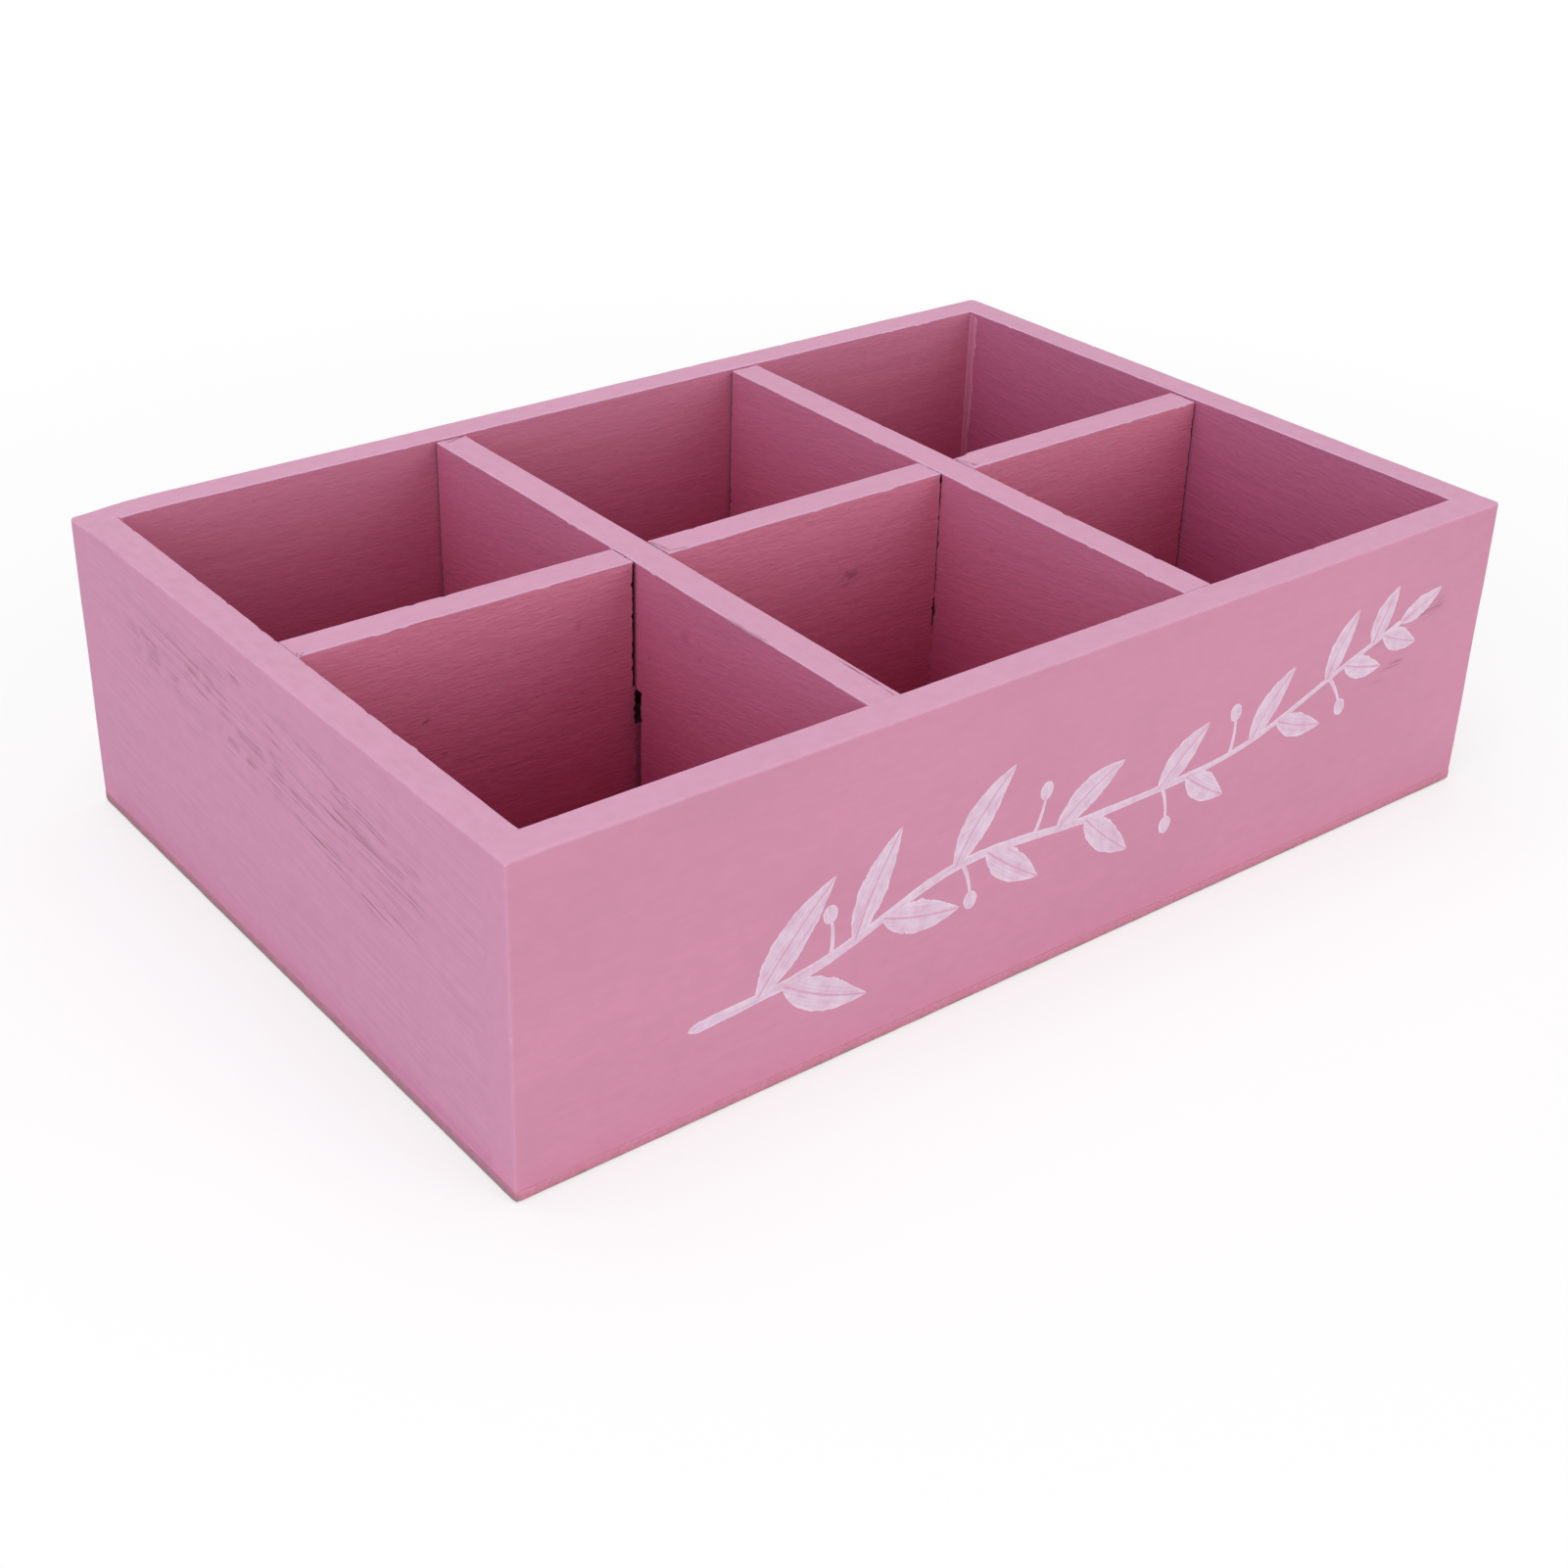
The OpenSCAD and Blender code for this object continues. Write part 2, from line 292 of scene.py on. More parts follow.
    height = addNode(tree, mathNode, {"operation": "MULTIPLY", 1: look["fibreHeight"]}, {0: noise["fibre"]})[0]
    for pattern in ("brush", "mottle"):
        height = addNode(tree, mathNode, {"operation": "MULTIPLY_ADD", 1: look[pattern + "Height"]},
                         {0: noise[pattern], 2: height})[0]
    height = addNode(tree, mathNode, {"operation": "MULTIPLY_ADD", 1: look["nibHeight"]}, {0: ridges, 2: height})[0]
    height = addNode(tree, mathNode, {"operation": "MULTIPLY_ADD", 1: -0.1}, {0: flecks, 2: height})[0]
    height = addNode(tree, mathNode, {"operation": "MULTIPLY_ADD", 1: -0.15}, {0: pits, 2: height})[0]
    bump = addNode(tree, "ShaderNodeBump", {"Strength": 1.0, "Distance": millimetre}, {"Height": height})[0]
    rough = addNode(tree, rampNode, {"stops": [(0.3, look["rough"]), (0.7, look["rough"] + 0.12)]},
                    {0: noise["brush"]})[0]
    shader = addNode(tree, "ShaderNodeBsdfPrincipled", {"IOR": 1.5, "Specular IOR Level": look["gloss"]},
                     {"Base Color": colour, "Normal": bump, "Roughness": rough})[0]
    addNode(tree, "ShaderNodeOutputMaterial", {}, {"Surface": shader})
    return material


paintLook = {
    "grainAxis": 0, "grainSlope": 0,
    "outer": "#D18EA9", "outerShade": "#CD8BA6", "outerShadedAtEnds": "#CB8EAC",
    # inner-face colours from the rim to the floor, darker downwards as painted shade
    "inner": [(0.1, "#D987A5"), (0.45, "#CE6B8F"), (0.75, "#C2547B"), (1.0, "#AE4166")],
    # The paler colour of edges and tops is partly rubbed paint and partly a painted highlight; the near-black gap
    # colour is painted shade.
    "rubbedPaleAndHighlight": "#DFB6D3", "sanded": "#D3A9BE", "wood": "#99626C", "dirt": "#54303B", "gapShadeColour": "#4A1020",
    "pitColour": "#9C3A5C",
    # millimetres along and across the grain
    "fibre": (30, 0.75), "brush": (55, 3.2), "blotch": (60, 26), "mottle": (4.2, 2.6), "fleck": (34, 0.5),
    "patch": (24, 2.0), "pit": (1.7, 1.2), "nib": (3.2, 0.75),
    "streaks": 0.015, "lines": 0.02, "mottling": 0.03, "pitting": 0.35, "nibs": 0.05,
    "fibreHeight": 0.03, "brushHeight": 0.08, "mottleHeight": 0.08, "nibHeight": 0.13,     # millimetres
    "rough": 0.62, "gloss": 0.35,
}
longBoardPaint = chalkPaint("chalkPaintOnLongBoards", {**paintLook, "outerShadedAtEnds": "#C98CAA"})
endBoardPaint = chalkPaint("chalkPaintOnEndBoards", {
    **paintLook, "grainAxis": 1, "grainSlope": 6, "lines": 0.08, "mottling": 0.04,
    "inner": [(0.1, "#CB769B"), (0.45, "#CC6993"), (0.75, "#C45887"), (1.0, "#AC4470")],
})
longDividerPaint = chalkPaint("chalkPaintOnLongDivider", {
    **paintLook, "lines": 0.05, "nibHeight": 0.17, "nibs": 0.06,
    "inner": [(0.1, "#E58CA9"), (0.45, "#D46E91"), (0.75, "#C7567D"), (1.0, "#B24468")],
})
crossDividerPaint = chalkPaint("chalkPaintOnCrossDividers", {
    **paintLook, "grainAxis": 1, "grainSlope": -8, "lines": 0.05,
    "inner": [(0.1, "#D0799B"), (0.45, "#D26A90"), (0.75, "#CA5884"), (1.0, "#B5466D")],
})
print("paints mixed")


# The four boards of the box, shaped by one formula so that their filled joints stay closed

walls = {
    "spacing": 1.05,               # between mesh lines, in mm
    "recess": 0.12,                # sanding brings the skin this far inside the sawn size
    "waviness": 0.03,              # rise and fall of the sanded faces
    "ripple": 0.035,               # grain that stands up on the unsanded inner faces
    "outerEase": (0.5, 0.2),       # radius of the outer rim edge, and how much it varies
    "innerEase": (0.28, 0.12),
    "nicks": 0.3,                  # depth of the chips along the rim's edges
    "corners": {(-1, -1): 0.55, (1, -1): 0.8, (1, 1): 1.8, (-1, 1): 1.0},   # radii of the upright corners, by side
    "fade": 4.0,                   # the inner faces go flat this far from the inner corners
    # Lines along which the left end board is worn, by y and z, with the width of the wear and its strength
    "worn": [([(60, 63), (0, 61), (-60, 56)], 10.0, 0.72), ([(43, 58), (22, 55), (5, 52)], 4.0, 1.0),
             ([(11, 60), (-15, 57), (-36, 58)], 4.0, 1.0), ([(-5, 53), (-40, 46), (-62, 42)], 4.0, 0.8),
             ([(28, 73), (-10, 71), (-48, 64)], 3.0, 0.7)],
    "scratched": [([(108, 54), (131, 58)], 2.2, 1.0), ([(109, 42), (118, 45)], 1.4, 0.7)],  # front, by x and z
    # Chips out of the rim and the upright corner: place, radius and depth
    "chips": [((-141, -51.9, 81), 1.5, 1.1), ((-150, -100, 80.6), 1.0, 0.7), ((-150, -100, 39.7), 0.8, 0.45),
              ((-150, -100, 33.5), 0.5, 0.3), ((-149.6, 43, 81), 0.7, 0.4),
              ((105.8, 91, 81), 0.8, 0.4), ((-60, 91, 81), 0.7, 0.5), ((22, -100, 81), 0.6, 0.35)],
    "dip": ((-150, 100), 11, 1.15),    # a corner of the rim that is worn down: its place, radius and depth
}
edgeSteps = np.array([0, 0.03, 0.1, 0.22, 0.4, 0.62, 0.95, 1.4, 2.0, 3.0])


def wallRelief(a, z, seed):
    # How far a broad face lies inside the sawn size: the recess, and waves of 60, 17 and 5 mm
    wave = softNoise(a, z, 60, seed) + 0.5 * softNoise(a, z, 17, seed + 1) + 0.25 * softNoise(a, z, 5, seed + 2)
    return walls["recess"] + walls["waviness"] * wave * 0.57


def innerRipple(a, z, seed):
    # How far an inner face lies behind the sawn size: long flat waves along the grain, 3 and 1.3 mm wide
    wave = softNoise(a / 12, z, 3, seed) + 0.6 * softNoise(a / 14, z, 1.3, seed + 1)
    return 0.03 + walls["ripple"] * (1.6 + wave)


def wallShape(x, y, z):
    # From the sawn boards to the finished ones. Heights are scaled so that the top follows the eased edges,
    # upright corners are drawn in from squares to quarter circles, the faces move in by their relief, and chips
    # are pushed in round their places.
    sideX, sideY = np.sign(x), np.sign(y)
    fromEnd, fromLong = halfLength - np.abs(x), halfDepth - np.abs(y)
    fromOutside = np.clip(np.minimum(fromEnd, fromLong), 0, None)
    fromInside = np.clip(np.maximum(np.abs(x) - innerLength, np.abs(y) - innerDepth), 0, None)
    base, varies = walls["outerEase"]
    outerEase = base + varies * (0.7 * softNoise(x, y, 15, 1) + 0.3 * softNoise(x, y, 4, 2))
    base, varies = walls["innerEase"]
    innerEase = base + varies * (0.6 * softNoise(x, y, 11, 3) + 0.4 * softNoise(x, y, 3, 4))
    top = rim - 0.01 - easedDrop(fromOutside, outerEase) - easedDrop(fromInside, innerEase)
    top -= 0.03 * (1 + softNoise(x, y, 35, 5)) + 0.015 * (1 + softNoise(x, y, 3.5, 6))
    nearEdge = np.maximum(hill(fromInside, 0.5), 0.6 * hill(fromOutside, 0.5))
    top -= walls["nicks"] * nearEdge * smooth(softNoise(x + 7, y, 2.1, 8), 0.62, 0.9)
    place, size, depth = walls["dip"]
    top -= depth * hill(np.hypot(x - place[0], y - place[1]), size)
    height = foot + (z - foot) * (top - foot) / (rim - foot)

    radius = np.ones_like(x)
    for (cornerX, cornerY), size in walls["corners"].items():
        here = (sideX == cornerX) & (sideY == cornerY)
        radius[here] = size + 0.2 * softNoise(z[here], cornerX + 2 * cornerY, 12, 7)
    a, b = radius - fromEnd, radius - fromLong
    inCorner = (a > 0) & (b > 0)
    shrink = np.where(inCorner, np.maximum(a, b) / np.maximum(np.hypot(a, b), 1e-9), 1)
    newX = sideX * np.where(inCorner, halfLength - radius + a * shrink, np.abs(x))
    newY = sideY * np.where(inCorner, halfDepth - radius + b * shrink, np.abs(y))

    inEnd = np.where(fromEnd <= wallThickness + 0.01, fromEnd / wallThickness, 1)    # 0 outside to 1 inside
    inLong = np.where(fromLong <= wallThickness + 0.01, fromLong / wallThickness, 1)
    newX -= sideX * (1 - inEnd) * np.where(sideX < 0, wallRelief(y, z, 20), wallRelief(y, z, 25))
    newY -= sideY * (1 - inLong) * np.where(sideY < 0, wallRelief(x, z, 40), wallRelief(x, z, 45))
    openEnd = smooth(innerDepth - np.abs(y), 0, walls["fade"]) * (fromEnd <= wallThickness + 0.01) * inEnd
    openLong = smooth(innerLength - np.abs(x), 0, walls["fade"]) * (fromLong <= wallThickness + 0.01) * inLong
    newX += sideX * openEnd * innerRipple(y, z, 60)
    newY += sideY * openLong * innerRipple(x, z, 64)

    below = rim - z
    onInside = (fromInside < 0.01) & (below > 0.01)
    # Inner faces are marked by depth, for colours painted darker towards the floor as painted shade; outer faces take a
    # little of it near the foot, as painted shade from the floor.
    inside = np.where(onInside, 0.12 + 0.88 * np.clip(below / (rim - foot), 0, 1), 0.05 * hill(z - foot, 7))
    # Paler lines along the inner and outer rim edges, partly rubbed paint and partly a painted highlight; the whole top
    # painted paler for the light on it; a faint painted highlight up the outer upright corners.
    edge = hill(fromInside, 0.3) * (below < 0.01)
    edge = np.maximum(edge, 0.15 * hill(fromOutside, 0.3) * hill(below, 0.3))
    edge = np.maximum(edge, 0.14 * hill(np.maximum(fromEnd, fromLong), 0.7) * (fromOutside < 0.01))
    edge = np.maximum(edge, 0.36 * (below < 0.01))
    points = np.stack([newX, newY, height], 1)
    for place, size, depth in walls["chips"]:
        away = points - np.array(place)
        share = np.clip(1 - (away ** 2).sum(1) / size ** 2, 0, 1)
        middle = np.array([place[0] * (1 - 6 / halfLength), place[1] * (1 - 6 / halfDepth), place[2] - 4 * (place[2] > 70)])
        inward = middle - np.array(place)
        points += depth * share[:, None] * inward / np.linalg.norm(inward)
        # Chips are painted paler round their rims, partly as a painted highlight.
        edge = np.maximum(edge, 0.5 * smooth(share, 0, 0.5))
    worn = np.zeros_like(x)
    for line, width, strength in walls["worn"]:
        worn = np.maximum(worn, strength * hill(fromLine(y, z, line), width))
    worn *= (fromEnd < 0.01) * (x < 0) * smooth(softNoise(y + z, z - y, 5, 9), -0.8, 0.2)
    for line, width, strength in walls["scratched"]:
        worn = np.maximum(worn, strength * hill(fromLine(x, z, line), width) * (fromLong < 0.01) * (y < 0))
    # Marks the outer end faces, which are painted darker as painted shade, less so near the corners.
    side = (fromEnd < 0.01) * (1 - 0.25 * hill(fromLong, 6)) * smooth(below, 0, 0.5)
    return points, {"inside": inside, "edge": edge, "worn": worn, "side": side}


acrossWall = np.concatenate([edgeSteps, [wallThickness / 2], (wallThickness - edgeSteps)[::-1]])
upWall = np.concatenate([foot + np.array([0, 0.5]), stations(foot + 1.2, rim - 3, walls["spacing"]),
                         rim - np.array([2.1, 1.4, 0.9, 0.55, 0.3, 0.12, 0.04, 0])])
alongLong = np.concatenate([acrossWall - halfLength,
                            stations(-innerLength, innerLength, walls["spacing"])[1:-1], acrossWall + innerLength])
alongEnd = stations(-innerDepth, innerDepth, walls["spacing"])


def wallBoard(name, along, across, turned, material):
    kept = np.ones((len(along) - 1, len(upWall) - 1), bool)
    quads, i, j, k = slabQuads(kept, len(across) - 1)
    if turned:
        points, marks = wallShape(across[j], along[i], upWall[k])
        quads = quads[:, ::-1]
    else:
        points, marks = wallShape(along[i], across[j], upWall[k])
    return makePiece(name, points, quads, marks, material)


frontBoard = wallBoard("frontBoard", alongLong, acrossWall - halfDepth, False, longBoardPaint)
backBoard = wallBoard("backBoard", alongLong, acrossWall + innerDepth, False, longBoardPaint)
leftEndBoard = wallBoard("leftEndBoard", alongEnd, acrossWall - halfLength, True, endBoardPaint)
rightEndBoard = wallBoard("rightEndBoard", alongEnd, acrossWall + innerLength, True, endBoardPaint)
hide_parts("front_board", "putty_plugs")
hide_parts("back_board")
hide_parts("left_end_board")
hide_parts("right_end_board")
print("boards made")


# The dividers: thin boards that half lap over each other, a little warped and loose in their slots

dividers = {
    "spacing": 1.4, "upSpacing": 0.95,
    "ease": (0.28, 0.14),          # radius of the top edges, and how much it varies
    "slotFloor": 36.55,            # height at which the long divider's slots end
    "slotCeiling": 46.55,          # height at which the cross dividers' slots end
    "torn": 0.2,                   # how far the sawn ends are torn
    "nicks": 0.38,                 # how deep single nicks go into them
}
halfDivider = (longHigh[1] - longLow[1]) / 2
longCentre = (longHigh[1] + longLow[1]) / 2
leftCentre = (leftCrossHigh[0] + leftCrossLow[0]) / 2
rightCentre = (rightCrossHigh[0] + rightCrossLow[0]) / 2

# A jog shifts the end of a slot: the end, how far and which way, and the lowest and highest point of the shift.
# Grooves lie on the top, as a line of places along and across with a width, a depth and a darkness of painted shade in
# them.
# Smudges lie on a side, by their place along and up, their size and their strength.
longDivider = {
    "seed": 100,
    "ends": (-innerLength + 0.3, innerLength - 0.55),
    "courseAt": [-141, 141], "courseBy": [0.9, -1.2],                       # lean in plan, from the CAD's line
    "warpAt": [-141, -53, -42, 45, 55, 141], "warpBy": [0.4, 0.25, -0.6, 0.5, -1.6, 0.2],   # at the top edge only
    "slots": [(-52.45, -42.3), (45.4, 55.3)], "slotsFromTop": True,
    "jogs": [(-52.45, 0.6, 20, 47.2), (-52.45, 0.4, 79.4, 90), (45.4, -0.3, 38.5, 44)],
    "grooves": [([(-140.9, -4.5), (-139.9, -3.0)], 0.16, 0.3, 0.55),
                ([(-140.0, -4.5), (-138.8, -3.6)], 0.13, 0.3, 0.55),
                ([(-41.9, 3.4), (-41.2, -3.4), (-36.4, -4.1)], 0.22, 0.4, 0.65),
                ([(55.4, 3.2), (57.0, -3.8)], 0.2, 0.4, 0.65), ([(55.3, 4.6), (59.4, 4.6)], 0.8, 0.6, 0.08)],
    "smudges": [(15.5, 58.4, 3.0, 0.55), (-110, 55, 0.5, 0.6), (-68, 68, 0.6, 0.4)],
}
leftCross = {
    "seed": 130,
    "ends": (-innerDepth + 0.12, innerDepth - 0.5),
    "courseAt": [-91, 2, 91], "courseBy": [-1.0, 0.65, 1.3],
    "warpAt": [-91, 91], "warpBy": [0, 0],
    "slots": [(-4.75, 7.15)], "slotsFromTop": False,
    "jogs": [(-4.75, 0.5, 0, 12)],
    "grooves": [([(-68.5, 3.3), (-79.8, 3.7), (-89.8, 3.1)], 0.16, 0.5, 0.65),
                ([(-40.5, -4.6), (-44.5, -4.2), (-47, -4.6), (-50.5, -4.3), (-53.5, -4.1), (-54.5, -4.6)],
                 0.2, 0.35, 0.5),
                ([(88.8, -2.0), (90.4, 3.6)], 0.25, 0.35, 0.6)],
    "smudges": [(-22.9, 69.5, 1.4, 0.3), (-29.1, 66, 0.8, 0.2)],
}
rightCross = {
    "seed": 160,
    "ends": (-innerDepth + 0.5, innerDepth - 0.45),
    "courseAt": [-91, 2, 91], "courseBy": [-2.3, 0.2, 2.1],
    "warpAt": [-91, 91], "warpBy": [0, 0],
    "slots": [(-2.72, 6.8)], "slotsFromTop": False,
    "jogs": [(-2.72, -0.4, 39.5, 44)],
    "grooves": [([(-40, 4.2), (-44, 4.0)], 0.2, 0.3, 0.5)],
    "smudges": [(-24, 66.5, 0.6, 0.35), (-30, 60, 0.5, 0.3)],
}
slotSteps = (0, 0.1, 0.25, 0.5, 0.85, 1.4)


def dividerShape(look, u, w, z):
    # From a sawn divider to the fitted one. It leans by its course and warps towards its top edge, its top and
    # its ends at the slots are eased, its ends are torn by noise, and its broad faces wave a little.
    seed = look["seed"]
    up = (z - foot) / (dividerRim - foot)
    fromSide = halfDivider - np.abs(w)
    base, varies = dividers["ease"]
    ease = base + varies * (0.6 * softNoise(u, w > 0, 12, seed) + 0.4 * softNoise(u, w > 0, 3, seed + 1))
    top = dividerRim - 0.01 - easedDrop(fromSide, ease)
    top -= 0.04 * (1 + softNoise(u, 0, 40, seed + 2)) + 0.015 * (1 + softNoise(u, w, 3, seed + 3))
    top -= 0.32 * hill(fromSide, 0.5) * smooth(softNoise(u, 9 * (w > 0), 1.9, seed + 9), 0.6, 0.9)
    slotEnds = [edge for slot in look["slots"] for edge in slot]
    upEnds = list(look["ends"]) + (slotEnds if look["slotsFromTop"] else [])
    fromEnd = np.abs(u[:, None] - np.array(upEnds)).min(1)
    top -= easedDrop(fromEnd, 0.3 + 0.2 * softNoise(u, w, 1.3, seed + 4))
    below = dividerRim - z
    gap = np.zeros_like(u)
    # Grooves are cut into the top and painted dark as the shade in them.
    for line, width, depth, darkness in look["grooves"]:
        groove = hill(fromLine(u, w, line), width)
        top -= depth * groove
        gap = np.maximum(gap, darkness * groove * (below < 0.01))
    height = foot + up * (top - foot)
    course = np.interp(u, look["courseAt"], look["courseBy"])
    warp = np.interp(u, look["warpAt"], look["warpBy"]) * up ** 2
    skin = 0.05 * softNoise(u, z, 20, seed + 5) + 0.03 * softNoise(u / 8, z, 2.2, seed + 6)
    across = w * (1 - 0.012) + course + warp - np.sign(w) * np.abs(skin) * np.abs(w) / halfDivider
    # Ragged ends: torn by noise both ways, and nicked into the wood, which lies outside each slot
    ends, towardsWood = np.array(list(look["ends"]) + slotEnds), np.array([1, -1] + [-1, 1] * len(look["slots"]))
    nearest = np.abs(u[:, None] - ends).argmin(1)
    atEnd = hill(u - ends[nearest], 0.5)
    tear = 0.6 * softNoise(w, z, 0.8, seed + 7) + 0.4 * softNoise(w, z, 2.6, seed + 8)
    nick = smooth(softNoise(z, ends[nearest] + 3 * (w > 0), 1.25, seed + 13), 0.25, 0.8)
    nick += 1.3 * hill(z - 42, 4.5) * smooth(softNoise(z, ends[nearest], 0.7, seed + 14), -0.2, 0.7)
    along = u + atEnd * (dividers["torn"] * tear + dividers["nicks"] * towardsWood[nearest] * nick)
    for start, shift, low, high in look["jogs"]:
        along += shift * hill(u - start, 0.8) * smooth(z, low - 0.3, low + 0.3) * (1 - smooth(z, high - 0.3, high + 0.3))
    onFace = fromSide < 0.01
    # Faces below the top are marked by depth, for colours painted darker towards the floor as painted shade.
    inside = np.where(below > 0.01, 0.12 + 0.88 * np.clip(below / (dividerRim - foot), 0, 1), 0)
    # The sawn ends and the faces hidden in the joints are painted near black as the shade in the gaps.
    gap = np.maximum(gap, (~onFace & (below > 0.5)) * 1.0)
    for middle in ([leftCentre, rightCentre] if look["slotsFromTop"] else [longCentre]):
        inJoint = smooth(halfDivider + 0.25 - np.abs(u - middle), 0, 0.3)
        covered = z < dividers["slotCeiling"] if look["slotsFromTop"] else (z > dividers["slotFloor"]) & (below > 0.01)
        gap = np.maximum(gap, inJoint * covered * (0.15 if look["slotsFromTop"] else 1))
    # Paler along the top edges and ends, partly rubbed paint and partly a painted highlight, and over the whole top for
    # the light on it.
    edge = hill(fromSide, 0.28) * (below < 0.01)
    edge = np.maximum(edge, 0.8 * hill(fromEnd, 0.25) * (below < 0.01))
    edge = np.maximum(edge, 0.35 * (below < 0.01))
    edge = np.maximum(edge, 0.3 * hill(fromEnd, 0.3) * onFace * smooth(softNoise(z, 0, 1.6, seed + 10), 0.1, 0.6))
    smudge = np.zeros_like(u)
    for middle, level, size, strength in look["smudges"]:
        speckle = smooth(softNoise(u, z, 0.7, seed + 11), -0.2, 0.5)
        smudge = np.maximum(smudge, strength * hill(np.hypot(u - middle, z - level), size) * speckle * (w < 0) * onFace)
    return along, across, height, {"inside": inside, "edge": edge, "gap": gap, "smudge": smudge}


acrossDivider = np.concatenate([-halfDivider + edgeSteps[:8], np.linspace(-2.8, 2.8, 19), halfDivider - edgeSteps[:8][::-1]])


def divider(name, look, centre, alongX, material):
    low, high = look["ends"]
    slotEdges = [edge for slot in look["slots"] for edge in slot]
    along = stations(low, high, dividers["spacing"], slotEdges, slotSteps)
    along = np.unique(np.concatenate([along, low + np.arange(0.15, 3.1, 0.15), high - np.arange(0.15, 3.1, 0.15)]))
    along = along[np.concatenate([[True], np.diff(along) > 0.04])]
    floorOrCeiling = dividers["slotFloor"] if look["slotsFromTop"] else dividers["slotCeiling"]
    up = stations(foot, dividerRim - 1.8, dividers["upSpacing"], [floorOrCeiling], (0, 0.3))
    up = up[(up < 35.5) | (up > 48.5) | (np.abs(up - floorOrCeiling) < 0.5)]
    fine = np.arange(35.6, 48.4, 0.35)
    up = np.concatenate([up, fine[np.abs(fine - floorOrCeiling) > 0.4], dividerRim - np.array([1.3, 0.8, 0.45, 0.2, 0.08, 0])])
    up = np.unique(up)
    middleU, middleZ = ((along[1:] + along[:-1]) / 2)[:, None], ((up[1:] + up[:-1]) / 2)[None, :]
    inSlotHeight = middleZ > floorOrCeiling if look["slotsFromTop"] else middleZ < floorOrCeiling
    cut = np.zeros((len(along) - 1, len(up) - 1), bool)
    for start, end in look["slots"]:
        cut |= (middleU > start) & (middleU < end) & inSlotHeight
    quads, i, j, k = slabQuads(~cut, len(acrossDivider) - 1)
    alongAt, acrossAt, height, marks = dividerShape(look, along[i], acrossDivider[j], up[k])
    if alongX:
        points = np.stack([alongAt, acrossAt + centre, height], 1)
    else:
        points = np.stack([acrossAt + centre, alongAt, height], 1)
        quads = quads[:, ::-1]
    return makePiece(name, points, quads, marks, material)


longDividerPiece = divider("longDivider", longDivider, longCentre, True, longDividerPaint)
leftCrossPiece = divider("leftCrossDivider", leftCross, leftCentre, False, crossDividerPaint)
rightCrossPiece = divider("rightCrossDivider", rightCross, rightCentre, False, crossDividerPaint)
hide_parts("long_divider")
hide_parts("left_cross_divider")
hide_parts("right_cross_divider")
print("dividers made")


# The thin plywood bottom: raw below, painted above, with a sawn edge that took the paint unevenly

bottom = {
    "spacing": 1.6,
    "inset": 0.035, "ragged": 0.06,     # how far its sawn edge lies inside the boards, and how much that varies
    "corner": 0.9,                     # radius of its corners in plan
    "dimple": 0.5, "dimpleRadius": 1.22,   # wood crushed round the heads of the brads
    "bradRow": 5, "bradsFromEnd": 20,      # brads along the front and the back
}
panelThickness = bottomHigh[2] - bottomLow[2]
frontBay = (longLow[1] - innerDepth) / 2
rearBay = (longHigh[1] + innerDepth) / 2
bayMiddles = [(leftCrossLow[0] - innerLength) / 2, (leftCentre + rightCentre) / 2, (rightCrossHigh[0] + innerLength) / 2]
bradRow = np.linspace(bottom["bradsFromEnd"] - halfLength, halfLength - bottom["bradsFromEnd"], bottom["bradRow"])
bottomBrads = np.array([(x, side * (halfDepth - wallThickness / 2)) for x in bradRow for side in (-1, 1)]
                       + [(end * (halfLength - wallThickness / 2), y) for end in (-1, 1) for y in (frontBay, rearBay)]
                       + [(x, longCentre) for x in bayMiddles]
                       + [(x, y) for x in (leftCentre, rightCentre) for y in (frontBay, rearBay)])


def bottomShape(x, y, z):
    # A flat sheet whose edges wander in and out by noise and by the cosine of its three veneers, with small round
    # dimples pressed up into its underside
    fromEdge = np.minimum(halfLength - np.abs(x), halfDepth - np.abs(y))
    a, b = bottom["corner"] - (halfLength - np.abs(x)), bottom["corner"] - (halfDepth - np.abs(y))
    inCorner = (a > 0) & (b > 0)
    shrink = np.where(inCorner, np.maximum(a, b) / np.maximum(np.hypot(a, b), 1e-9), 1)
    newX = np.sign(x) * np.where(inCorner, halfLength - bottom["corner"] + a * shrink, np.abs(x))
    newY = np.sign(y) * np.where(inCorner, halfDepth - bottom["corner"] + b * shrink, np.abs(y))
    along = x + 3 * y
    inset = bottom["inset"] + bottom["ragged"] * (0.5 * softNoise(along, z, 6, 200) + 0.5 * softNoise(along, z * 3, 1.6, 201))
    inset += 0.1 * (1 - smooth(z, 0, 0.25)) - 0.025 * np.cos(z / panelThickness * 6 * math.pi)
    pull = np.clip(inset, 0.02, None) * (1 - smooth(fromEdge, 0, 2.5))
    newX -= np.sign(x) * pull * (halfLength - np.abs(x) < 2.5)
    newY -= np.sign(y) * pull * (halfDepth - np.abs(y) < 2.5)
    away = np.hypot(x[:, None] - bottomBrads[:, 0], y[:, None] - bottomBrads[:, 1]).min(1)
    crushed = 1 - smooth(away, bottom["dimpleRadius"] - 0.12, bottom["dimpleRadius"] + 0.25)
    height = z + (z < 0.01) * bottom["dimple"] * crushed
    band = (fromEdge < 0.01) * 1.0
    bare = band * (halfLength - np.abs(x) < 0.01)
    return np.stack([newX, newY, height], 1), {"band": band, "bare": bare, "floor": (z > panelThickness - 0.01) * (1 - band)}


